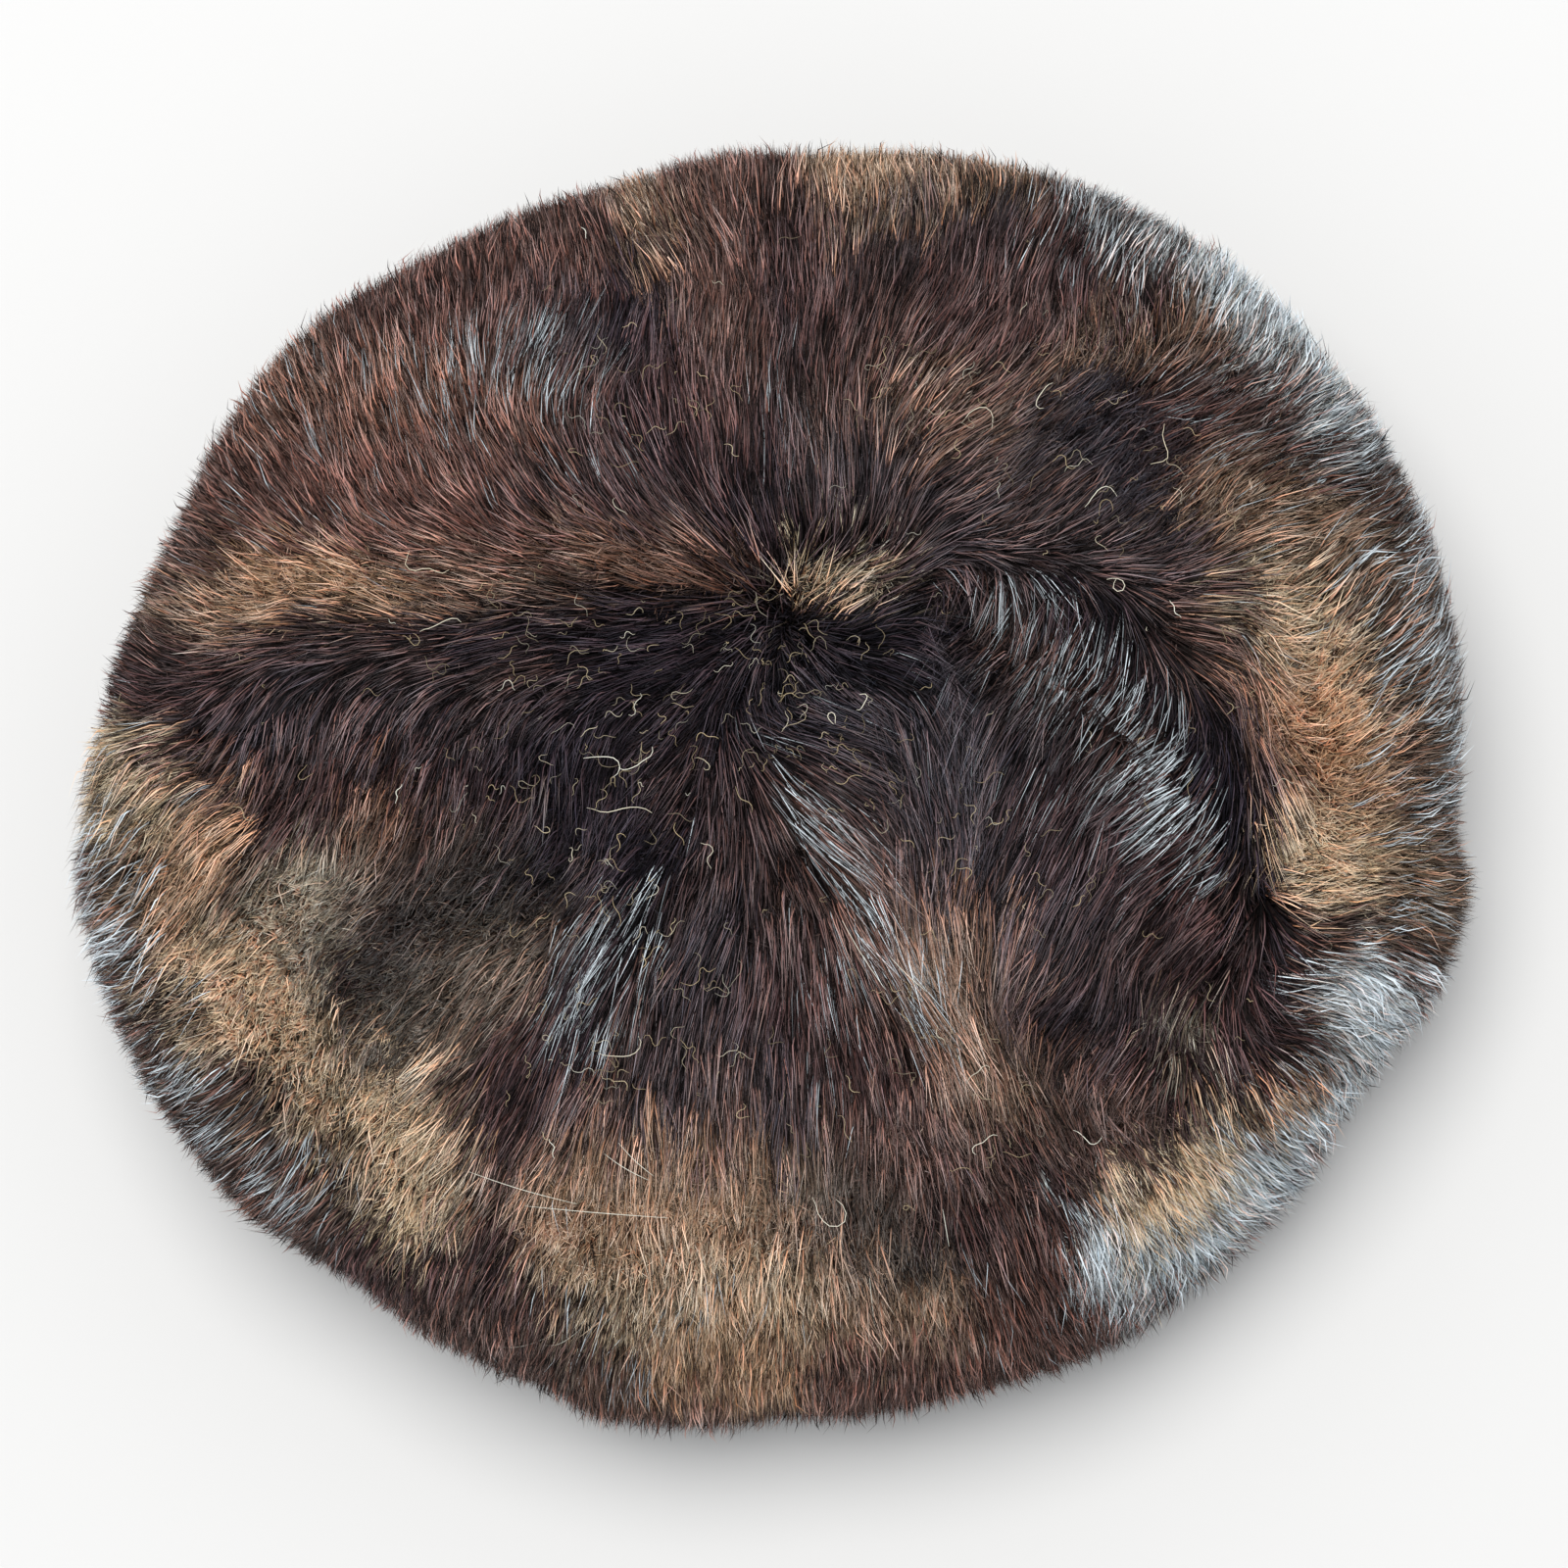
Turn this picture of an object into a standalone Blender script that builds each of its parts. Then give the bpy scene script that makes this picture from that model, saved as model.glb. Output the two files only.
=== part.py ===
# Fur pillbox hat: four crown pelts that meet at a whorl, and a side band that stands on its rim.
# Metres, +Z up. The origin is on the floor under the middle of the hat, and the front is at -Y.
import math
import random
from collections import namedtuple

import bmesh
import bpy
from mathutils import Vector

# Driving sizes
HAT_HEIGHT = 0.090  # floor to the top of the crown's fur
CEILING_HEIGHT = 0.0695  # floor to the flat hide inside the crown
HEAD_HALF_WIDTH = 0.0905  # the head opening's half axis along X
HEAD_HALF_DEPTH = 0.0825  # and along Y
SEAM_GAP = 0.0003  # between pieces that are sewn edge to edge
FINE_STEP = 1e-6  # points nearer than this are one
SHARP_EDGE = 50  # degrees, past which an edge isn't shaded smooth
LEAN = Vector((-0.003, 0.007))  # how far the soft crown has slumped sideways at its top

# Crown
CROWN_REACH = 0.80  # share of the hat's outline that the crown covers
CROWN_DROP = 0.0095  # how much lower the crown's fur is at its edge
DOME_POWER = 3.0
WHORL = Vector((0.0045, 0.0245))  # where the nap parts, in plan
CROWN_ROWS = 12
EDGE_RISE = 0.35  # share of their height that the locks keep at the crown's edge

# Band
BAND_COLUMNS = 144
BAND_ROWS = 16  # rows of points down the outer fur
INNER_ROWS = 4  # rows of points up the plain inner wall
PROFILE_PARTS = 8  # short runs between two sections of the profile
BAND_GAP = 0.0005  # between the crown's edge and the band, whose points don't face each other

# Locks of fur
LOCK_COLUMNS = 4  # columns of points across a lock
LOCK_ROWS = 4  # rows of points from a lock's root to its tip
LOCK_RISE = (0.0002, 0.0012, 0.0022, 0.0028)  # from root to tip, along a lock's middle
LOCK_HOLLOW = 0.0012  # how deep the hollows lie between two locks
LOCK_POINT = 0.0030  # how far a tip reaches past the hollows beside it
LOCK_UNEVEN = 0.35  # a lock may be this share higher or lower than the next
WHORL_CALM = (0.008, 0.040)  # locks grow from nothing to full height over this distance
LOCK_SEED = 7

# The hat's outline from above, without the soft ends of the hairs
Outline = namedtuple("Outline", "angle radius")
OUTLINE = [
    Outline(0, 0.1121),
    Outline(20, 0.1142),
    Outline(40, 0.1128),
    Outline(60, 0.1082),
    Outline(80, 0.1014),
    Outline(100, 0.0980),
    Outline(120, 0.0990),
    Outline(140, 0.1042),
    Outline(160, 0.1042),
    Outline(180, 0.1096),
    Outline(200, 0.1131),
    Outline(220, 0.1112),
    Outline(240, 0.1060),
    Outline(260, 0.1024),
    Outline(280, 0.1010),
    Outline(300, 0.1038),
    Outline(320, 0.1054),
    Outline(340, 0.1098),
]

# The outer fur of the band, from the seam at the crown down to the rim
Section = namedtuple("Section", "reach height")
BAND_PROFILE = [
    Section(0.804, 0.0795),
    Section(0.835, 0.0815),
    Section(0.880, 0.0800),
    Section(0.925, 0.0755),
    Section(0.963, 0.0670),
    Section(0.988, 0.0550),
    Section(1.000, 0.0410),
    Section(0.994, 0.0270),
    Section(0.972, 0.0130),
    Section(0.940, 0.0035),
    Section(0.915, 0.0000),
]

# Four joins run out from the whorl to the crown's edge. The angles are seen from the whorl.
Join = namedtuple("Join", "start_angle end_angle")
RIGHT_VALLEY = Join(-6, -44)
BACK_PARTING = Join(94, 92)
LEFT_CREASE = Join(176, 190)
FRONT_PARTING = Join(266, 273)

Pelt = namedtuple("Pelt", "name first last columns")
PELTS = [
    Pelt("crown_pelt_back_right", RIGHT_VALLEY, BACK_PARTING, 44),
    Pelt("crown_pelt_back_left", BACK_PARTING, LEFT_CREASE, 36),
    Pelt("crown_pelt_front_left", LEFT_CREASE, FRONT_PARTING, 32),
    Pelt("crown_pelt_front_right", FRONT_PARTING, RIGHT_VALLEY, 20),
]

# Ridges and creases of the crown's fur, each along a bowed line, in plan
Fold = namedtuple("Fold", "name x0 y0 x1 y1 bow width rise")
FOLDS = [
    Fold("left_crease", 0.004, 0.024, -0.100, 0.006, 0.004, 0.0060, -0.0040),
    Fold("swell_over_left_crease", -0.020, 0.036, -0.090, 0.026, 0.0, 0.0110, 0.0022),
    Fold("right_valley", 0.014, 0.024, 0.080, -0.026, 0.016, 0.0060, -0.0046),
    Fold("ridge_inside_right_valley", 0.012, 0.014, 0.066, -0.030, 0.014, 0.0080, 0.0034),
    Fold("front_right_ridge", 0.004, 0.000, 0.030, -0.046, 0.006, 0.0065, 0.0026),
    Fold("front_parting", 0.002, 0.004, 0.008, -0.078, 0.0, 0.0045, -0.0020),
    Fold("front_left_ridge", -0.012, -0.018, -0.034, -0.056, -0.003, 0.0060, 0.0028),
    Fold("back_parting", 0.004, 0.036, 0.003, 0.086, 0.0, 0.0045, -0.0022),
    Fold("back_left_hollow", -0.020, 0.070, -0.012, 0.088, 0.0, 0.0070, -0.0026),
    Fold("back_left_swell", -0.058, 0.062, -0.034, 0.070, 0.0, 0.0120, 0.0022),
    Fold("back_right_matting", 0.042, 0.040, 0.066, 0.044, 0.0, 0.0130, -0.0024),
    Fold("front_left_matting", -0.062, -0.018, -0.044, -0.030, 0.0, 0.0130, -0.0020),
]

# Dents and swells round the band, by their angle in degrees
Swell = namedtuple("Swell", "name angle spread rise")
SWELLS = [
    Swell("band_join", 271, 2.6, -0.0024),
    Swell("notch", 229, 5.0, -0.0036),
    Swell("tuft_at_back", 93, 3.0, 0.0022),
    Swell("front_swell", 253, 8.0, 0.0012),
    Swell("right_hollow", 330, 8.0, -0.0010),
    Swell("left_swell", 196, 9.0, 0.0012),
]

Finish = namedtuple("Finish", "colour roughness")
CROWN_FUR = Finish((0.020, 0.011, 0.008, 1.0), 0.62)
BAND_FUR = Finish((0.066, 0.034, 0.018, 1.0), 0.66)


def clear_scene():
    for item in list(bpy.data.objects):
        bpy.data.objects.remove(item, do_unlink=True)


def new_collection(name):
    group = bpy.data.collections.new(name)
    bpy.context.scene.collection.children.link(group)
    return group


def fur_material(name, finish):
    material = bpy.data.materials.new(name)
    material.use_nodes = True
    shader = material.node_tree.nodes["Principled BSDF"]
    shader.inputs["Base Color"].default_value = finish.colour
    shader.inputs["Roughness"].default_value = finish.roughness
    shader.inputs["Metallic"].default_value = 0.0
    return material


def ease(share):
    share = min(max(share, 0.0), 1.0)
    return share * share * (3.0 - 2.0 * share)


def through(before, low, high, after, share):
    # A Catmull-Rom curve from low to high
    slope_in = (high - before) / 2
    slope_out = (after - low) / 2
    turn = low - high
    return low + share * (slope_in + share * (-3 * turn - 2 * slope_in - slope_out
                                              + share * (2 * turn + slope_in + slope_out)))


def hat_radius(angle):
    # The outline's radius at an angle in radians about the hat's axis
    degrees = math.degrees(angle) % 360.0
    count = len(OUTLINE)
    at = max(i for i in range(count) if OUTLINE[i].angle <= degrees)
    rows = [OUTLINE[(at + step) % count] for step in (-1, 0, 1, 2)]
    span = (rows[2].angle - rows[1].angle) % 360
    share = (degrees - rows[1].angle) / span
    return through(*[row.radius for row in rows], share)


def head_radius(angle):
    across = math.cos(angle) / HEAD_HALF_WIDTH
    along = math.sin(angle) / HEAD_HALF_DEPTH
    return 1.0 / math.hypot(across, along)


def lean_at(height):
    return LEAN * ease(height / BAND_PROFILE[0].height)


def polar(angle, radius):
    return Vector((math.cos(angle), math.sin(angle))) * radius


def crown_limit(from_middle):
    # The crown's radius in the direction of a point, both measured from the crown's middle
    return CROWN_REACH * hat_radius(math.atan2(from_middle.y, from_middle.x))


def whorl_to_edge(angle):
    # Distance from the whorl, along an angle, to the crown's edge, found by halving
    near, far = 0.0, 2 * OUTLINE[0].radius
    while far - near > FINE_STEP:
        trial = (near + far) / 2
        from_middle = WHORL + polar(angle, trial) - LEAN
        inside = from_middle.length < crown_limit(from_middle)
        near, far = (trial, far) if inside else (near, trial)
    return near


def fold_height(spot):
    total = 0.0
    for fold in FOLDS:
        start = Vector((fold.x0, fold.y0))
        run = Vector((fold.x1, fold.y1)) - start
        share = min(max((spot - start).dot(run) / run.length_squared, 0.0), 1.0)
        side = Vector((-run.y, run.x)).normalized()
        on_line = start + run * share + side * fold.bow * 4 * share * (1 - share)
        off = (spot - on_line).length / fold.width
        total += fold.rise * math.exp(-off * off)
    return total


def crown_height(spot):
    from_middle = spot - LEAN
    share = min(from_middle.length / crown_limit(from_middle), 1.0)
    return HAT_HEIGHT - CROWN_DROP * share**DOME_POWER + fold_height(spot)


def swell_at(angle):
    total = 0.0
    for swell in SWELLS:
        off = (math.degrees(angle) - swell.angle + 180) % 360 - 180
        total += swell.rise * math.exp(-((off / swell.spread) ** 2))
    return total


class Locks:
    # Rows of rounded locks, each row set half a lock to the side of the row before it
    def __init__(self, seed):
        self.chance = random.Random(seed)
        self.size = {}

    def at(self, column, row):
        # How far the fur stands up, and how far it reaches along the nap
        line, step = divmod(row, LOCK_ROWS)
        lock, place = divmod(column + line * LOCK_COLUMNS // 2, LOCK_COLUMNS)
        ridge = math.sin(math.pi * (place + 0.5) / LOCK_COLUMNS) ** 2
        key = (lock, line)
        if key not in self.size:
            self.size[key] = self.chance.uniform(1 - LOCK_UNEVEN, 1 + LOCK_UNEVEN)
        size = self.size[key]
        rise = LOCK_RISE[step] * ridge * size - LOCK_HOLLOW * (1 - ridge)
        reach = LOCK_POINT * (ridge - 0.5) * size * (step == LOCK_ROWS - 1)
        return rise, reach


def grid_of_points(columns, rows, place):
    # A flat grid whose points are moved to place(column, row), with points that meet merged
    mesh = bmesh.new()
    bmesh.ops.create_grid(mesh, x_segments=columns, y_segments=rows, size=0.5)
    for point in mesh.verts:
        column = round((point.co.x + 0.5) * columns)
        row = round((point.co.y + 0.5) * rows)
        point.co = place(column, row)
    bmesh.ops.remove_doubles(mesh, verts=mesh.verts, dist=FINE_STEP)
    return mesh


def finish_piece(mesh, name, group, material):
    bmesh.ops.triangulate(mesh, faces=mesh.faces)
    bmesh.ops.recalc_face_normals(mesh, faces=mesh.faces)
    data = bpy.data.meshes.new(name)
    mesh.to_mesh(data)
    mesh.free()
    data.shade_smooth()
    data.set_sharp_from_angle(angle=math.radians(SHARP_EDGE))
    data.materials.append(material)
    piece = bpy.data.objects.new(name, data)
    group.objects.link(piece)
    return piece


def join_angle(join, share):
    bend = ease(share)
    return math.radians(join.start_angle + (join.end_angle - join.start_angle) * bend)


def join_point(join, share):
    angle = join_angle(join, share)
    return WHORL + polar(angle, share * whorl_to_edge(angle))


def beside_join(join, share, side):
    # A point of the join moved half a gap to one side of it
    low = max(share - 0.01, 0.0)
    high = min(share + 0.01, 1.0)
    along = join_point(join, high) - join_point(join, low)
    normal = Vector((-along.y, along.x)).normalized()
    return join_point(join, share) + normal * side * SEAM_GAP / 2


def whorl_corner(pelt):
    # Where the pelt's two edges meet, half a gap from both joins
    first = join_angle(pelt.first, 0.0)
    last = join_angle(pelt.last, 0.0)
    opening = (last - first) % math.tau
    middle = first + opening / 2
    return WHORL + polar(middle, SEAM_GAP / 2 / math.sin(opening / 2))


def pelt_plan(pelt, column, share):
    # Where a point of the pelt lies in plan: fanned between its two edges
    if share == 0.0:
        return whorl_corner(pelt)
    first = beside_join(pelt.first, share, 1) - WHORL
    last = beside_join(pelt.last, share, -1) - WHORL
    if column in (0, pelt.columns):
        return WHORL + (last if column else first)
    start = math.atan2(first.y, first.x)
    opening = (math.atan2(last.y, last.x) - start) % math.tau
    angle = start + opening * column / pelt.columns
    return WHORL + polar(angle, share * whorl_to_edge(angle))


def build_pelt(pelt, group, material):
    locks = Locks(f"{LOCK_SEED} {pelt.name}")

    def place(column, row):
        spot = pelt_plan(pelt, column, row / CROWN_ROWS)
        away = spot - WHORL
        calm = ease((away.length - WHORL_CALM[0]) / (WHORL_CALM[1] - WHORL_CALM[0]))
        height = crown_height(spot)
        if row and 0 < column < pelt.columns:
            rise, reach = locks.at(column, row - 1)
            if row < CROWN_ROWS:
                height += rise * calm
                spot = spot + away.normalized() * reach * calm
            else:
                height += rise * EDGE_RISE
        return (spot.x, spot.y, height)

    mesh = grid_of_points(pelt.columns, CROWN_ROWS, place)
    rim = [edge for edge in mesh.edges if edge.is_boundary]
    sides = bmesh.ops.extrude_edge_only(mesh, edges=rim)["geom"]
    for point in sides:
        if isinstance(point, bmesh.types.BMVert):
            point.co.z = CEILING_HEIGHT
    hide = [item for item in sides if isinstance(item, bmesh.types.BMEdge) and item.is_boundary]
    bmesh.ops.edgeloop_fill(mesh, edges=hide)
    return finish_piece(mesh, pelt.name, group, material)


def band_section():
    # The outer fur's points from the seam to the rim, evenly spaced along the profile
    fine = []
    last = len(BAND_PROFILE) - 1
    for at in range(last):
        rows = [BAND_PROFILE[min(max(at + step, 0), last)] for step in (-1, 0, 1, 2)]
        for part in range(PROFILE_PARTS):
            share = part / PROFILE_PARTS
            fine.append(Vector((through(*[row.reach for row in rows], share),
                                through(*[row.height for row in rows], share))))
    fine.append(Vector(BAND_PROFILE[last]))
    scale = Vector((OUTLINE[0].radius, 1.0))
    steps = [((b - a) * scale).length for a, b in zip(fine, fine[1:])]
    total = sum(steps)
    points = []
    for row in range(BAND_ROWS + 1):
        left = total * row / BAND_ROWS
        at = 0
        while at < len(steps) - 1 and left > steps[at]:
            left -= steps[at]
            at += 1
        points.append(fine[at].lerp(fine[at + 1], min(left / steps[at], 1.0)))
    return points


def build_band(group, material):
    section = band_section()
    locks = Locks(f"{LOCK_SEED} band")
    rows = BAND_ROWS + INNER_ROWS + 2

    def seam_radius(angle):
        return CROWN_REACH * hat_radius(angle) + BAND_GAP

    def outer_point(angle, column, row):
        at = section[row]
        before = section[max(row - 1, 0)]
        after = section[min(row + 1, BAND_ROWS)]
        run = Vector((after - before) * Vector((OUTLINE[0].radius, 1.0))).normalized()
        outward = Vector((-run.y, run.x))
        radius = at.x * hat_radius(angle) if row else seam_radius(angle)
        height = at.y
        if 0 < row < BAND_ROWS:
            rise, reach = locks.at(column, row - 1)
            rise += swell_at(angle)
            radius += outward.x * rise + run.x * reach
            height += outward.y * rise + run.y * reach
        spot = polar(angle, radius) + lean_at(height)
        return (spot.x, spot.y, height)

    def inner_point(angle, row):
        share = row / INNER_ROWS
        top = polar(angle, seam_radius(angle)) + LEAN
        foot = polar(angle, head_radius(angle))
        spot = foot.lerp(top, ease(share))
        return (spot.x, spot.y, CEILING_HEIGHT * share)

    def place(column, row):
        around = column % BAND_COLUMNS
        angle = math.tau * around / BAND_COLUMNS
        if row <= BAND_ROWS:
            return outer_point(angle, around, row)
        if row == rows:
            return outer_point(angle, around, 0)
        return inner_point(angle, row - BAND_ROWS - 1)

    mesh = grid_of_points(BAND_COLUMNS, rows, place)
    return finish_piece(mesh, "side_band", group, material)


def centre_on_floor(pieces):
    low = Vector((math.inf, math.inf))
    high = Vector((-math.inf, -math.inf))
    for piece in pieces:
        for point in piece.data.vertices:
            low = Vector(map(min, low, point.co.xy))
            high = Vector(map(max, high, point.co.xy))
    middle = (low + high) / 2
    for piece in pieces:
        for point in piece.data.vertices:
            point.co.x -= middle.x
            point.co.y -= middle.y


def build_hat():
    clear_scene()
    group = new_collection("fur_pillbox_hat")
    crown_fur = fur_material("crown_fur", CROWN_FUR)
    band_fur = fur_material("band_fur", BAND_FUR)
    pieces = [build_pelt(pelt, group, crown_fur) for pelt in PELTS]
    pieces.append(build_band(group, band_fur))
    centre_on_floor(pieces)


build_hat()
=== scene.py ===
import math

import bmesh
import bpy
import numpy as np
from mathutils import Matrix, Vector, bvhtree, kdtree


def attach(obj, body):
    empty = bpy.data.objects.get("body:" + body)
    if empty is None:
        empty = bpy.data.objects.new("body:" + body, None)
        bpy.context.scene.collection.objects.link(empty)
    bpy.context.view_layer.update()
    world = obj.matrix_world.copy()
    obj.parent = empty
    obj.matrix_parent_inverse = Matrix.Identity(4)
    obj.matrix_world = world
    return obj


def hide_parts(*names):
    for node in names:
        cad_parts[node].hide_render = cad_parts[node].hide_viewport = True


# The fur pillbox hat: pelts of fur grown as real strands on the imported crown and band.

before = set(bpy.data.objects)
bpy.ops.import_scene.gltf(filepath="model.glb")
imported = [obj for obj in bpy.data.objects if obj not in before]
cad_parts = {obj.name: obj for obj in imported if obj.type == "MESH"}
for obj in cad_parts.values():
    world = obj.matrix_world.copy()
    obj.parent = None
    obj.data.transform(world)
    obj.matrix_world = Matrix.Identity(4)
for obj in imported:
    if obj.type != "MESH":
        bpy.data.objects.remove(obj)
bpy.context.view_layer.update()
print("frame loaded")


# Camera and the photograph's frame

photo = {
    "pixels": 1600,
    "tilt": 11.0,  # degrees from straight down
    "turn": 27.0,  # degrees from the front towards the right
    "aim": (0.0, 0.0, 0.042),
    "aimRight": 0.00165,
    "distance": 0.75,
    "width": 0.264,  # metres across the picture at the aim
    "sensor": 36.0,
}

tilt = math.radians(photo["tilt"])
turn = math.radians(photo["turn"])
towards = Vector(
    (math.sin(turn) * math.sin(tilt), -math.cos(turn) * math.sin(tilt), math.cos(tilt))
)
rightward = Vector((0, 1, 0)).cross(towards).normalized()
upward = towards.cross(rightward)
cameraPlace = (
    Vector(photo["aim"]) + towards * photo["distance"] + rightward * photo["aimRight"]
)


def makeCamera():
    data = bpy.data.cameras.new("photoCamera")
    data.sensor_width = photo["sensor"]
    data.lens = photo["sensor"] * photo["distance"] / photo["width"]
    data.clip_start = 0.02
    camera = bpy.data.objects.new("photoCamera", data)
    bpy.context.scene.collection.objects.link(camera)
    turned = Matrix((rightward, upward, towards)).transposed()
    camera.matrix_world = Matrix.Translation(cameraPlace) @ turned.to_4x4()
    bpy.context.scene.camera = camera


def toPixel(points):
    # Where points of the hat land in the photograph.
    away = points - np.array(cameraPlace)
    depth = -(away @ np.array(towards))
    middle = photo["pixels"] / 2
    scale = photo["pixels"] * photo["distance"] / photo["width"]
    across = middle + scale * (away @ np.array(rightward)) / depth
    down = middle - scale * (away @ np.array(upward)) / depth
    return np.stack((across, down), -1)


makeCamera()
print("camera placed")


# Shader helpers


class Value:
    # A socket that can be added and multiplied in plain expressions.
    def __init__(self, graph, socket):
        self.graph = graph
        self.socket = socket

    def maths(self, operation, first, second):
        node = self.graph.add("ShaderNodeMath", {"operation": operation}, {0: first, 1: second})
        return Value(self.graph, node.outputs[0])

    def __add__(self, other):
        return self.maths("ADD", self, other)

    def __radd__(self, other):
        return self.maths("ADD", other, self)

    def __mul__(self, other):
        return self.maths("MULTIPLY", self, other)

    def __rmul__(self, other):
        return self.maths("MULTIPLY", other, self)


class Graph:
    # The nodes of one material.
    def __init__(self, name):
        self.material = bpy.data.materials.new(name)
        self.material.use_nodes = True
        self.tree = self.material.node_tree
        self.shader = self.tree.nodes["Principled BSDF"]

    def feed(self, socket, given):
        if isinstance(given, Value):
            self.tree.links.new(given.socket, socket)
        elif isinstance(given, bpy.types.NodeSocket):
            self.tree.links.new(given, socket)
        else:
            socket.default_value = given

    def add(self, kind, settings=None, inputs=None):
        node = self.tree.nodes.new(kind)
        for key, setting in (settings or {}).items():
            setattr(node, key, setting)
        for key, given in (inputs or {}).items():
            self.feed(node.inputs[key], given)
        return node

    def noise(self, where, scale, detail=3.0, roughness=0.55):
        inputs = {"Vector": where, "Scale": scale, "Detail": detail, "Roughness": roughness}
        return Value(self, self.add("ShaderNodeTexNoise", None, inputs).outputs["Fac"])

    def mix(self, share, first, second):
        inputs = {0: share, 6: first, 7: second}
        return self.add("ShaderNodeMix", {"data_type": "RGBA"}, inputs).outputs[2]

    def clamp(self, value, low, high, lowest=0.0, highest=1.0):
        inputs = {
            "Value": value,
            "From Min": low,
            "From Max": high,
            "To Min": lowest,
            "To Max": highest,
        }
        return Value(self, self.add("ShaderNodeMapRange", None, inputs).outputs[0])


def linear(shade):
    # A screen colour from 0 to 255 as the renderer's own values.
    part = np.array(shade, float) / 255
    return np.where(part < 0.04, part / 12.92, ((part + 0.055) / 1.055) ** 2.4)


def rgba(shade):
    return (*[float(c) for c in linear(shade)], 1.0)


# Tones of the fur, as the photograph shows them

tones = {
    "black": (21, 18, 24),
    "soot": (32, 30, 35),
    "plum": (45, 32, 33),
    "umber": (69, 53, 48),
    "russet": (78, 55, 49),
    "chestnut": (102, 76, 61),
    "brass": (118, 96, 76),
    "tan": (160, 141, 114),
    "gold": (145, 115, 86),
    "olive": (110, 102, 88),
    "moss": (50, 49, 45),
    "sand": (248, 219, 177),
    # Painted sheen: the pale grey-blue of light glancing off the fur at the rim.
    "rimSheen": (206, 217, 221),
    # Painted sheen: the steel-blue of light glancing off the guard hairs.
    "paintedSheen": (232, 243, 251),
    "lint": (188, 168, 132),
    "lintPale": (224, 222, 208),
}

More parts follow.
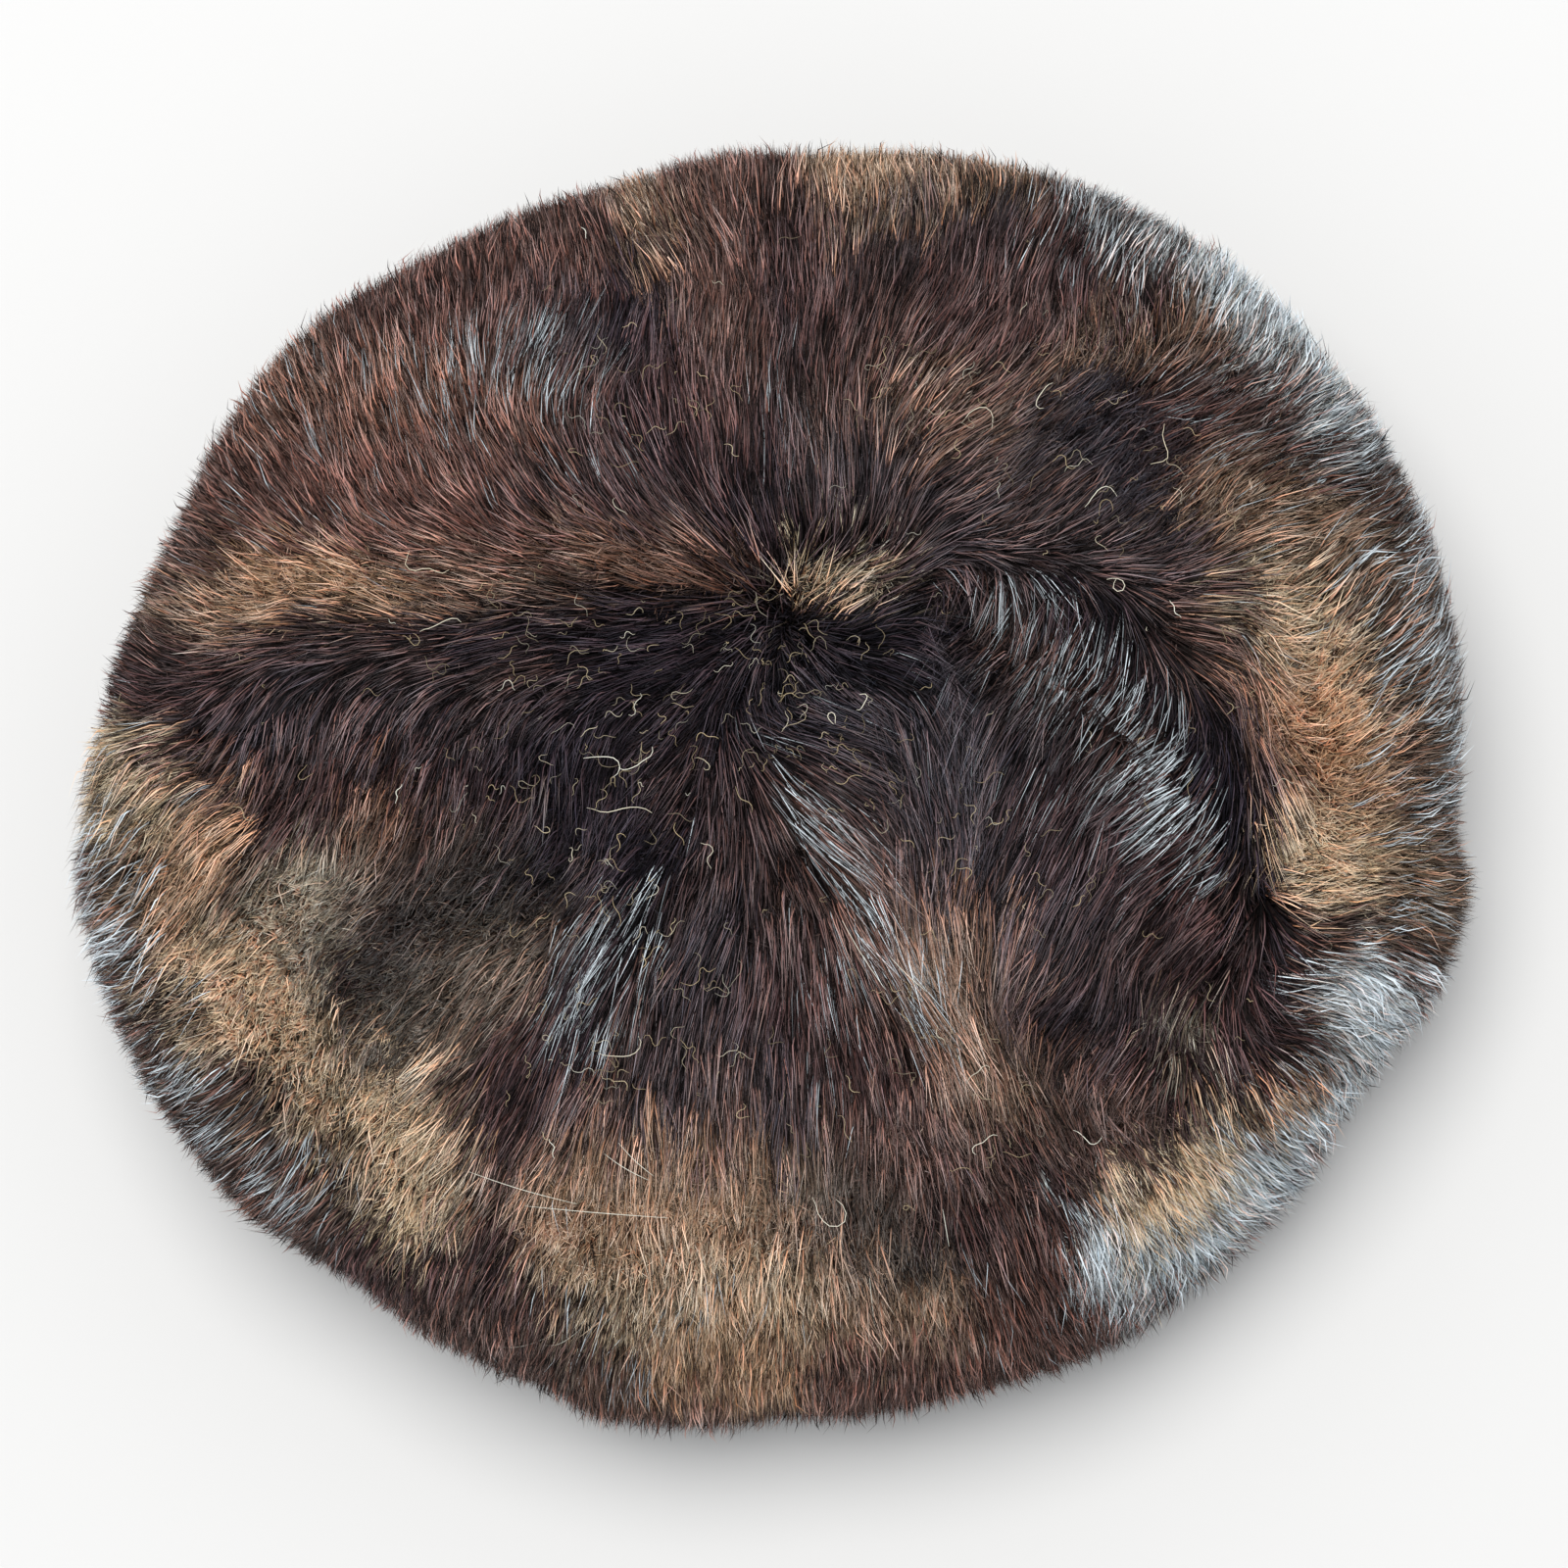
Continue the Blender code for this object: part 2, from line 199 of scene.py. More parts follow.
# Each patch runs between two pixels of the photograph, x y to x y, with a half width in
# pixels, a tone, how strongly it covers, and how woolly it is.
patches = (
    # upper left pelt
    (290, 470, 640, 450, 110, "russet", 0.9, 0.1),
    (300, 390, 480, 380, 56, "chestnut", 0.4, 0.1),
    (390, 290, 600, 290, 66, "russet", 0.85, 0.1),
    (400, 300, 600, 300, 56, "plum", 0.35, 0.0),
    (230, 500, 540, 520, 50, "russet", 0.9, 0.2),
    (180, 560, 210, 640, 50, "umber", 0.7, 0.1),
    (540, 330, 600, 350, 34, "soot", 0.85, 0.0),
    (640, 270, 670, 430, 40, "black", 0.95, 0.0),
    (640, 190, 665, 235, 24, "brass", 0.7, 0.5),
    (560, 470, 720, 520, 50, "soot", 0.7, 0.0),
    # back, above the whorl
    (718, 200, 770, 320, 40, "russet", 0.5, 0.1),
    (800, 240, 850, 330, 50, "plum", 0.85, 0.0),
    (700, 400, 760, 470, 55, "plum", 0.8, 0.0),
    (790, 300, 800, 500, 16, "black", 0.7, 0.0),
    (760, 520, 850, 560, 50, "black", 0.8, 0.0),
    (845, 165, 918, 195, 34, "brass", 0.9, 0.6),
    (980, 165, 1030, 175, 30, "brass", 0.7, 0.3),
    (900, 240, 1010, 230, 36, "soot", 0.8, 0.0),
    # upper right
    (960, 290, 1140, 310, 60, "plum", 0.8, 0.2),
    (1090, 250, 1200, 290, 36, "plum", 0.9, 0.1),
    (1130, 350, 1230, 340, 34, "brass", 0.45, 0.6),
    (930, 410, 1070, 435, 24, "brass", 0.3, 0.9),
    (1100, 420, 1190, 510, 55, "soot", 0.95, 0.6),
    (1220, 400, 1340, 500, 60, "plum", 0.7, 0.3),
    (860, 480, 1000, 520, 45, "soot", 0.8, 0.1),
    (1260, 500, 1390, 560, 45, "brass", 0.6, 0.4),
    (1020, 560, 1160, 600, 50, "soot", 0.7, 0.0),
    # left parting: brass above it, black under it as painted shade below the overhanging fur
    (255, 596, 400, 600, 26, "gold", 0.7, 0.9),
    (400, 596, 590, 594, 28, "brass", 0.35, 0.8),
    (600, 580, 730, 590, 26, "chestnut", 0.75, 0.7),
    (200, 625, 240, 615, 26, "brass", 0.7, 0.7),
    (255, 660, 480, 660, 28, "black", 0.6, 0.0),
    (480, 655, 790, 625, 38, "black", 0.9, 0.0),
    (150, 690, 260, 730, 46, "plum", 0.95, 0.0),
    (270, 730, 560, 760, 50, "soot", 0.85, 0.0),
    (260, 820, 480, 810, 34, "plum", 0.9, 0.1),
    (370, 842, 400, 836, 22, "chestnut", 0.8, 0.5),
    (110, 760, 125, 830, 30, "tan", 0.9, 0.5),
    (190, 850, 192, 900, 34, "gold", 0.85, 0.55),
    (160, 930, 200, 985, 36, "brass", 0.9, 0.55),
    (110, 850, 120, 960, 22, "brass", 0.4, 0.3),
    # lower left
    (310, 925, 275, 1030, 48, "olive", 0.95, 1.0),
    (225, 1010, 330, 1100, 50, "tan", 0.75, 0.9),
    (385, 1145, 425, 1200, 48, "tan", 0.85, 0.9),
    (390, 975, 520, 900, 50, "black", 0.85, 0.7),
    (400, 930, 560, 890, 50, "moss", 0.45, 1.0),
    (440, 1045, 510, 985, 42, "olive", 0.33, 1.0),
    (410, 1010, 400, 1080, 30, "moss", 0.7, 1.0),
    (530, 1080, 490, 1165, 40, "plum", 0.9, 0.1),
    (560, 800, 640, 860, 70, "black", 0.95, 0.3),
    (640, 900, 570, 1080, 38, "black", 0.9, 0.0),
    # middle
    (640, 700, 800, 720, 75, "black", 0.95, 0.1),
    (740, 810, 760, 930, 40, "black", 0.7, 0.0),
    (690, 960, 680, 1120, 40, "soot", 0.85, 0.0),
    (740, 960, 800, 1140, 40, "soot", 0.9, 0.0),
    (800, 1020, 940, 1140, 40, "plum", 0.85, 0.0),
    # Painted shade in the valley beside the ridge.
    (815, 870, 835, 980, 14, "black", 0.55, 0.0),
    (835, 590, 905, 590, 18, "sand", 0.75, 0.7),
    # right pelt
    (900, 700, 1100, 900, 110, "soot", 0.95, 0.0),
    (870, 640, 960, 640, 40, "black", 0.85, 0.0),
    # Painted shade over dark hair in the valley outside the ridge.
    (1080, 620, 1230, 760, 32, "black", 0.95, 0.0),
    (1230, 760, 1290, 920, 28, "black", 1.0, 0.0),
    (1100, 850, 1200, 950, 50, "plum", 0.7, 0.0),
    (940, 965, 1010, 1110, 34, "brass", 0.4, 0.9),
    (1080, 1040, 1190, 1060, 46, "black", 0.8, 0.2),
    (1230, 1000, 1330, 1060, 46, "plum", 1.0, 0.0),
    (1310, 940, 1340, 990, 26, "plum", 0.8, 0.1),
    (1180, 1110, 1290, 1115, 34, "plum", 0.95, 0.1),
    (1205, 1060, 1225, 1062, 16, "olive", 0.8, 0.8),
    # right side
    (1300, 610, 1375, 700, 37, "tan", 0.78, 0.9),
    (1290, 720, 1335, 800, 30, "chestnut", 0.9, 0.7),
    (1348, 720, 1395, 870, 42, "gold", 0.72, 0.9),
    (1330, 870, 1385, 900, 32, "tan", 0.9, 0.9),
    (1440, 620, 1480, 800, 34, "brass", 0.4, 0.2),
    (1460, 880, 1480, 950, 30, "brass", 0.7, 0.0),
    # lower right rim
    (1160, 1235, 1230, 1190, 28, "sand", 0.85, 0.8),
    (1200, 1195, 1270, 1160, 13, "tan", 0.85, 0.6),
    (1300, 1145, 1348, 1105, 11, "gold", 0.8, 0.6),
    (1350, 1070, 1390, 985, 16, "gold", 0.7, 0.7),
    (1100, 1190, 1150, 1150, 30, "umber", 0.7, 0.7),
    # front
    (580, 1240, 780, 1240, 46, "brass", 0.9, 0.8),
    (600, 1310, 800, 1330, 40, "tan", 0.5, 0.9),
    (690, 1370, 800, 1390, 30, "gold", 0.7, 0.8),
    (640, 1190, 680, 1180, 22, "brass", 0.6, 0.7),
    (830, 1240, 980, 1290, 46, "moss", 0.6, 1.0),
    (850, 1340, 990, 1340, 34, "brass", 0.6, 0.8),
    (980, 1225, 1110, 1240, 36, "plum", 0.9, 0.1),
    (900, 1180, 1010, 1180, 30, "umber", 0.7, 0.6),
    (1040, 1320, 1160, 1330, 46, "russet", 0.8, 0.0),
    (840, 1400, 1160, 1400, 30, "russet", 0.9, 0.0),
    (370, 1290, 520, 1320, 42, "plum", 0.95, 0.0),
    (450, 1360, 600, 1400, 32, "umber", 0.9, 0.1),
    (300, 1250, 360, 1240, 30, "umber", 0.7, 0.0),
    (620, 1410, 760, 1430, 24, "chestnut", 0.6, 0.1),
    # dark fur that lies over the pale
    (1225, 740, 1275, 900, 22, "black", 0.9, 0.0),
    (1290, 955, 1325, 1010, 26, "black", 0.9, 0.0),
    (1310, 1000, 1345, 1060, 26, "plum", 0.95, 0.0),
    # pale grey-blue painted sheen on the fur at the rim
    (1110, 195, 1230, 250, 13, "rimSheen", 0.45, 0.5),
    (1240, 270, 1350, 372, 24, "rimSheen", 0.75, 0.6),
    (1355, 385, 1405, 455, 16, "rimSheen", 0.4, 0.5),
    (1402, 1010, 1414, 1085, 27, "rimSheen", 0.9, 0.6),
    (1396, 1105, 1312, 1212, 25, "rimSheen", 0.85, 0.6),
    (1270, 1220, 1180, 1300, 30, "rimSheen", 0.7, 0.6),
    (1115, 1270, 1150, 1300, 18, "rimSheen", 0.8, 0.5),
)

# Painted sheen: where the guard hairs have pale steel-blue tips that stand in for light glancing
# off them, written the same way, with their share.
sheenPatches = (
    (480, 365, 590, 400, 38, 0.62),
    (300, 380, 450, 400, 60, 0.28),
    (240, 450, 330, 560, 60, 0.16),
    (780, 390, 790, 440, 22, 0.35),
    (1050, 190, 1180, 225, 36, 0.5),
    (1250, 280, 1335, 345, 30, 0.85),
    (1350, 365, 1440, 520, 34, 0.6),
    (1180, 370, 1190, 400, 22, 0.4),
    (1220, 400, 1330, 500, 50, 0.15),
    (1300, 490, 1320, 520, 22, 0.35),
    (1300, 600, 1400, 640, 40, 0.3),
    (1440, 560, 1490, 800, 44, 0.8),
    (1440, 860, 1490, 960, 34, 0.55),
    (1404, 1000, 1416, 1080, 32, 1.0),
    (1396, 1105, 1305, 1218, 30, 1.0),
    (1280, 1225, 1195, 1303, 34, 1.0),
    (1115, 1265, 1150, 1310, 22, 0.9),
    (1030, 630, 1090, 680, 38, 0.42),
    (1090, 690, 1180, 790, 50, 0.6),
    (1175, 785, 1225, 865, 34, 0.8),
    (960, 720, 1060, 840, 60, 0.14),
    (790, 790, 860, 900, 28, 0.7),
    (860, 900, 950, 1030, 22, 0.7),
    (655, 900, 565, 1050, 26, 0.68),
    (670, 970, 610, 1060, 20, 0.45),
    (830, 930, 860, 1120, 30, 0.26),
    (95, 860, 112, 1010, 30, 0.85),
    (130, 1030, 230, 1160, 38, 0.7),
    (230, 1160, 330, 1220, 34, 0.72),
    (560, 1350, 640, 1380, 30, 0.4),
    (600, 1230, 720, 1340, 60, 0.1),
    (90, 700, 90, 820, 30, 0.35),
    (110, 560, 180, 480, 30, 0.4),
    (1040, 1330, 1180, 1340, 50, 0.25),
)

# The way the hair points, in degrees anticlockwise from the photograph's right, and how long
# it is against the longest, written the same way. Elsewhere it points away from the whorl.
napPatches = (
    (700, 380, 860, 560, 70, 92, 0.9),
    (200, 560, 300, 460, 70, 138, 0.6),
    (300, 470, 600, 470, 80, 122, 0.65),
    (300, 380, 430, 380, 70, 112, 0.7),
    (400, 290, 600, 270, 60, 105, 0.6),
    (540, 380, 600, 390, 55, 72, 0.95),
    (140, 600, 130, 700, 50, 152, 0.6),
    (330, 605, 600, 600, 36, 165, 0.55),
    (280, 745, 600, 775, 58, 262, 0.75),
    (300, 830, 500, 830, 40, 252, 0.65),
    (280, 940, 330, 1080, 56, 262, 0.45),
    (420, 930, 560, 900, 56, 235, 0.5),
    (655, 890, 580, 1050, 36, 244, 1.1),
    (700, 950, 690, 1150, 50, 262, 0.85),
    (800, 960, 830, 1130, 40, 275, 1.0),
    (130, 1000, 240, 1150, 46, 202, 0.9),
    (250, 1190, 330, 1230, 40, 212, 0.9),
    (90, 850, 110, 960, 30, 200, 0.8),
    (130, 790, 190, 860, 40, 238, 0.8),
    (200, 880, 190, 960, 40, 238, 0.8),
    (800, 740, 860, 780, 50, -20, 0.9),
    (800, 800, 880, 900, 40, -48, 1.1),
    (860, 900, 950, 1030, 30, -55, 1.15),
    (930, 760, 950, 900, 50, -78, 1.1),
    (1005, 690, 1005, 960, 40, -92, 1.1),
    (1070, 760, 1080, 960, 50, -105, 1.1),
    (1000, 620, 1090, 650, 56, -118, 1.0),
    (1090, 670, 1250, 860, 76, -124, 1.1),
    (1180, 800, 1240, 880, 34, -138, 1.0),
    (1262, 650, 1308, 840, 30, -62, 0.8),
    (1160, 900, 1250, 980, 50, -130, 1.0),
    (1090, 1010, 1180, 1080, 50, -122, 0.9),
    (1235, 1060, 1255, 1090, 34, -70, 0.8),
    (1310, 1000, 1330, 1070, 40, -6, 0.9),
    (1130, 1190, 1230, 1215, 30, -62, 0.8),
    (1230, 1230, 1320, 1240, 40, -34, 1.1),
    (1340, 1080, 1390, 1120, 40, -52, 1.1),
    (1120, 1270, 1170, 1310, 40, -80, 1.0),
    (1350, 600, 1360, 720, 40, 50, 0.5),
    (1385, 640, 1395, 850, 36, 45, 0.6),
    (1320, 900, 1390, 930, 40, 20, 0.55),
    (1440, 560, 1480, 760, 40, 42, 1.0),
    (1450, 800, 1490, 860, 36, 12, 0.9),
    (1440, 900, 1480, 960, 36, -8, 0.9),
    (1220, 290, 1330, 360, 50, 72, 0.85),
    (1380, 400, 1440, 500, 40, 52, 0.85),
    (840, 588, 900, 592, 20, 18, 0.6),
    (840, 180, 1100, 190, 50, 88, 0.7),
    (1000, 270, 1150, 330, 60, 78, 0.7),
    (980, 480, 1040, 520, 40, 35, 0.8),
    (1080, 440, 1200, 520, 60, 40, 0.55),
)

# Where the fur stands prouder of the pelt than elsewhere, in metres.
fluffPatches = (
    (640, 1440, 900, 1445, 60, 0.0027),
    (900, 1420, 1200, 1340, 60, 0.0018),
    (1200, 1340, 1340, 1200, 50, 0.0022),
    (1480, 920, 1460, 1030, 46, 0.0046),
    (1500, 560, 1510, 720, 40, 0.0014),
    (90, 780, 95, 900, 40, 0.0012),
    (820, 590, 900, 600, 30, 0.0012),
    (1060, 680, 1200, 790, 34, 0.0012),
)

whorl = (0.0052, 0.0219)  # metres, where the nap starts

# Layers of noise each have a strength, a size in metres and a seed.
growth = {
    "seed": 4,
    "toneGain": 1.25,  # what the fur's own shadows take away is given back
    "mottle": (0.45, 0.014, 41),  # unevenness of the fur that no patch covers
    "drifts": ((1.0, 0.009, 20), (0.6, 0.0032, 30)),
    "edgeStray": 0.0045,  # how raggedly a patch ends
    "napStray": 0.0015,
    "patchReach": 1.7,  # in half widths of the patch
    "patchFade": 1.3,
    "mingle": 0.0013,  # how far hairs of neighbouring patches mix
    "streak": 0.0040,  # how far whole wisps of them mix along the nap
    "swirls": ((13, 0.016, 51), (11, 0.005, 52), (9, 0.002, 53)),  # in degrees
    "usualLength": 0.72,  # against the longest hair, where no nap patch is
    "whorlSize": 0.004,
    "whorlShort": 0.4,  # how much shorter the hair is in the whorl
    "wisp": 14,  # hairs drawn together in a wisp
    "lock": 260,  # and in a lock
    "smoothing": 5,  # rounds of easing the pelt's small steps
    "floorGap": 0.0006,  # the least height of a hair over the floor
    "flare": 0.0040,  # how far the fur of the sides stands off at most
    "shoulderTop": 0.044,  # where the patches start to fade down the band
    "shoulderDepth": 0.026,
    "lowPlain": 0.8,  # how much of the patches' colours is gone low on the band
    "lowSleek": 0.6,  # and of their wool
    "keptSheen": 0.2,
    "lowSheen": 0.10,  # share of hairs with painted sheen low on the band
    "denseFrom": 0.015,  # the band's fur grows denser from this height
    "denseOver": 0.06,
    "sparsest": 0.42,
    "ceiling": 0.0695,  # the crown's hide inside
}


def unit(vectors):
    return vectors / np.maximum(np.linalg.norm(vectors, axis=-1, keepdims=True), 1e-9)


def dots(first, second):
    return np.sum(first * second, axis=-1, keepdims=True)


def lumps(points, size, seed):
    # Smooth noise from -1 to 1 with lumps of that size, the same on every run.
    cells = 32
    lattice = np.random.default_rng(seed).random((cells, cells, cells)) * 2 - 1
    place = points / size
    cell = np.floor(place).astype(int)
    part = place - cell
    part = part * part * (3 - 2 * part)
    total = np.zeros(len(points))
    for corner in range(8):
        step = np.array((corner & 1, corner >> 1 & 1, corner >> 2))
        at = (cell + step) % cells
        weight = np.prod(np.where(step, part, 1 - part), axis=-1)
        total += weight * lattice[at[:, 0], at[:, 1], at[:, 2]]
    return total


def layered(points, layers, axis=0):
    # Noise from several layers, one for each axis if need be.
    return sum(strength * lumps(points, size, seed + axis) for strength, size, seed in layers)


def inPatch(pixels, patch):
    # The points within the patch's reach, and 1 well inside it, falling softly to 0.
    start = np.array(patch[0:2], float)
    end = np.array(patch[2:4], float)
    reach = patch[4] * growth["patchReach"]
    low = np.minimum(start, end) - reach
    high = np.maximum(start, end) + reach
    across, down = pixels.T
    near = (across > low[0]) & (across < high[0]) & (down > low[1]) & (down < high[1])
    near = np.flatnonzero(near)
    run = end - start
    there = pixels[near] - start
    along = np.clip(there @ run / max(run @ run, 1.0), 0, 1)
    off = np.linalg.norm(there - along[:, None] * run, axis=-1) / patch[4]
    share = np.clip((growth["patchReach"] - off) / growth["patchFade"], 0, 1)
    return near, share * share * (3 - 2 * share)


def lowerDown(points):
    # How far below the shoulder, where the photograph doesn't reach, from 0 to 1.
    fall = np.clip((growth["shoulderTop"] - points[:, 2]) / growth["shoulderDepth"], 0, 1)
    return fall * fall * (3 - 2 * fall)


def strayed(points, amount):
    # The points pushed about by noise, more so low down, so that a patch ends in tufts.
    drift = np.stack([layered(points, growth["drifts"], axis) for axis in range(3)], -1)
    return points + drift * amount * (1 + lowerDown(points)[:, None])


def coloursAt(points):
    # Tone and woolliness of the fur, from the patches.
    pixels = toPixel(strayed(points, growth["edgeStray"]))
    strength, size, seed = growth["mottle"]
    plain = linear(tones["umber"]) * (1 + strength * lumps(points, size, seed)[:, None])
    colour = plain.copy()
    wool = np.zeros(len(points))
    for patch in patches:
        near, share = inPatch(pixels, patch)
        share = share * patch[6]
        colour[near] += share[:, None] * (linear(tones[patch[5]]) - colour[near])
        wool[near] += share * (patch[7] - wool[near])
    lower = lowerDown(points)
    colour += growth["lowPlain"] * lower[:, None] * (plain - colour)
    return colour, wool * (1 - growth["lowSleek"] * lower)


def highestAt(pixels, table):
    # The greatest share that any patch of a table gives each point.
    highest = np.zeros(len(pixels))
    for patch in table:
        near, share = inPatch(pixels, patch)
        highest[near] = np.maximum(highest[near], share * patch[5])
    return highest


def sheenShareAt(points):
    # Share of guard hairs whose tips carry painted sheen, evened out low on the band.
    share = highestAt(toPixel(strayed(points, growth["edgeStray"])), sheenPatches)
    lower = lowerDown(points)
    return share + lower * (growth["keptSheen"] * share + growth["lowSheen"] - share)


def napAt(points, normals, rng):
    # The way the hair lies along the surface, and its length against the longest.
    pixels = toPixel(strayed(points, growth["napStray"]))
    away = unit(points[:, :2] - np.array(whorl))
    length = np.full(len(points), growth["usualLength"])
    for patch in napPatches:
        near, share = inPatch(pixels, patch)
        angle = math.radians(patch[5])
        aimed = np.array((math.cos(angle), math.sin(angle)))
        away[near] = unit(away[near] + share[:, None] * (aimed - away[near]))
        length[near] += share * (patch[6] - length[near])
    angle = np.arctan2(away[:, 1], away[:, 0])
    for degrees, size, seed in growth["swirls"]:
        angle += math.radians(degrees) * lumps(points, size, seed)
    middle = np.linalg.norm(points[:, :2] - np.array(whorl), axis=-1)
    near = np.exp(-((middle / growth["whorlSize"]) ** 2))
    angle += near * rng.uniform(-math.pi, math.pi, len(points))
    heading = np.stack((np.cos(angle), np.sin(angle), np.zeros(len(angle))), -1)
    above = np.array((0.0, 0.0, 1.0))
    lean = dots(heading, normals) / (1.02 + normals[:, 2:3])
    return unit(heading - lean * (normals + above)), length * (1 - growth["whorlShort"] * near)


def flareAt(normals, rng):
    # The fur of the shoulder and sides stands off more, which feathers the outline.
    level = normals[:, 2:3]
    steep = np.clip((0.85 - level) / 0.5, 0, 1)  # none where the pelt lies flat
    outer = np.clip((level + 0.95) / 0.4, 0, 1)  # or where it turns under
    return steep * outer * growth["flare"] * rng.random((len(normals), 1)) ** 2


# Surfaces that the fur grows on


def mergedCopy(nodeName):
    bm = bmesh.new()
    bm.from_mesh(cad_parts[nodeName].data)
    bmesh.ops.remove_doubles(bm, verts=bm.verts, dist=0.000002)  # its triangles are loose
    bm.normal_update()
    bm.verts.index_update()
    return bm


def crownShows(face):
    return face.normal.z > 0.3


def bandShows(face):
    middle = face.calc_center_median()
    outward = Vector((middle.x, middle.y, 0)).normalized()
    if face.normal.z < -0.9:
        return False
    return face.normal.dot(outward) > -0.2 or face.normal.z > 0.5


def furSurface(bm, shows):
    # Corners and evened normals of the faces that carry fur, with its small steps smoothed.
    faces = [face for face in bm.faces if shows(face)]
    furred = set(faces)
    inside = {vert for face in faces for vert in face.verts}
    soft = [vert for vert in inside if all(face in furred for face in vert.link_faces)]
    for _ in range(growth["smoothing"]):
        bmesh.ops.smooth_vert(
            bm, verts=soft, factor=0.5, use_axis_x=True, use_axis_y=True, use_axis_z=True
        )
    bm.normal_update()
    index = np.array([[vert.index for vert in face.verts] for face in faces])
    places = np.array([vert.co[:] for vert in bm.verts])
    corners = places[index]
    crossed = np.cross(corners[:, 1] - corners[:, 0], corners[:, 2] - corners[:, 0])
    normals = np.zeros_like(places)
    for corner in range(3):
        np.add.at(normals, index[:, corner], crossed)
    doubled = np.linalg.norm(crossed, axis=-1)  # twice each face's area
    for _ in range(3):
        spread = unit(normals)[index].sum(axis=1)
        for corner in range(3):
            np.add.at(normals, index[:, corner], spread * doubled[:, None])
    return {
        "index": index,
        "corners": corners,
        "normals": unit(normals),
        "areas": doubled / 2,
    }


def rootsOn(surface, build, rng, wanted):
    # Random roots by area, thinned where this kind of hair is scarce.
    areas = surface["areas"]
    squareCm = areas.sum() * 10000
    count = int(squareCm * build["perSquareCm"])
    chosen = rng.choice(len(areas), size=count, p=areas / areas.sum())
    first = rng.random((count, 1))
    second = rng.random((count, 1))
    flip = first + second > 1
    first = np.where(flip, 1 - first, first)
    second = np.where(flip, 1 - second, second)
    third = 1 - first - second
    corners = surface["corners"][chosen]
    leans = surface["normals"][surface["index"][chosen]]
    places = corners[:, 0] * third + corners[:, 1] * first + corners[:, 2] * second
    normals = unit(leans[:, 0] * third + leans[:, 1] * first + leans[:, 2] * second)
    _, wool = coloursAt(places)
    share = build["sleek"] * (1 - wool) + build["woolly"] * wool
    if build["paintedSheen"]:
        share = np.maximum(share, sheenShareAt(places))
    kept = rng.random(count) < share * wanted(places)
    return places[kept], normals[kept], wool[kept]


# Strands


strand = {
    "lengths": (0.6, 1.25),  # the shortest and the longest, against "reach"
    "rises": (0.2, 1.6),  # the lowest and the proudest, against "proud"
    "flattest": 0.5,  # share of its rise that every tip keeps over the hat
    "steepness": 1.12,  # how straight up the hair leaves the hide
    "bendPlace": 0.14,  # where along its reach it bends over
    "wispSpread": 0.35,  # how far apart the tips of a wisp stay, against their roots
    "widths": (0.7, 1.3),
    "taper": 0.3,
    "colourPlace": 0.6,  # where along a hair its colour is picked
    "sheenWidth": (0.7, 0.75),  # width of painted-sheen hairs against other hairs, and what a full share adds
}


def gathered(roots, ends, count, pull):
    # Ends drawn towards the end of the nearest chosen hair, as fur falls in wisps.
    chosen = np.arange(0, len(roots), count)
    tree = kdtree.KDTree(len(chosen))
    for place, hair in enumerate(chosen):
        tree.insert(roots[hair], place)
    tree.balance()
    nearest = chosen[[tree.find(root)[1] for root in roots]]
    spread = (roots - roots[nearest]) * strand["wispSpread"]
    return ends + pull[:, None] * (ends[nearest] + spread - ends), nearest


def laidOver(points, rise, standOff):
    # Points brought down to where the hair lies on the hat, or lifted out of it.
    low = rise * strand["flattest"]
    high = rise + standOff
    laid = points.copy()
    for place, point in enumerate(points):
        found, normal, _, away = hatShape.find_nearest(point)
        off = Vector(point) - found
        height = math.copysign(away, off.dot(normal))
        if height < low[place]:
            laid[place] = found + normal * low[place]
        elif height > high[place]:
            laid[place] = found + off * (high[place] / away)
    return laid


def hairCurves(roots, normals, build, rng, tousle):
    # Points along each hair from its buried root to its tip.
    count = len(roots)
    nap, length = napAt(roots, normals, rng)
    across = np.cross(nap, normals)
    veer = np.radians(rng.normal(0, build["veer"], (count, 1)) * tousle[:, None])
    nap = nap * np.cos(veer) + across * np.sin(veer)
    reach = build["reach"] * rng.uniform(*strand["lengths"], (count, 1)) * length[:, None]
    rise = build["proud"] * rng.uniform(*strand["rises"], (count, 1)) + flareAt(normals, rng)
    rise += highestAt(toPixel(roots), fluffPatches)[:, None]
    start = roots - normals * build["buried"]
    tip = roots + nap * reach + normals * rise
    tip, wisps = gathered(roots, tip, growth["wisp"], rng.uniform(0.0, build["wispPull"], count))
    tip, _ = gathered(roots, tip, growth["lock"], np.full(count, build["lockPull"]))
    tip = laidOver(tip, rise[:, 0], build["standOff"])
    bend = start + normals * (build["buried"] + rise) * strand["steepness"]
    bend = bend + nap * reach * strand["bendPlace"]
    bend += rng.normal(0, build["curl"], (count, 3))
    steps = np.linspace(0, 1, build["parts"] + 1)[None, :, None]
    curve = (
        start[:, None] * (1 - steps) ** 2
        + bend[:, None] * 2 * steps * (1 - steps)
        + tip[:, None] * steps**2
    )
    lowest = growth["floorGap"] * rng.uniform(1, 4, (count, 1))
    curve[:, :, 2] = np.maximum(curve[:, :, 2], lowest)
    return curve, wisps


def bladeSides(curve, normals, rng, roll):
    # Across each flat blade, mostly square to the surface under it.
    along = unit(curve[:, -1] - curve[:, 0])
    side = unit(np.cross(along, normals))
    other = np.cross(side, along)
    turned = np.radians(rng.uniform(-roll, roll, (len(curve), 1)))
    return side * np.cos(turned) + other * np.sin(turned)


def paletteSpots(shades):
    # Where colours lie on the bake's map, by brightness and warmth: hairs of one colour
    # share its pixels.
    bright = np.sqrt(np.clip(shades.mean(-1), 0, 1))
    warm = (shades[..., 0] - shades[..., 2]) / (shades.sum(-1) + 0.01)
    return 0.04 + 0.92 * np.clip(np.stack((bright, (warm + 0.12) / 0.72), -1), 0, 1)


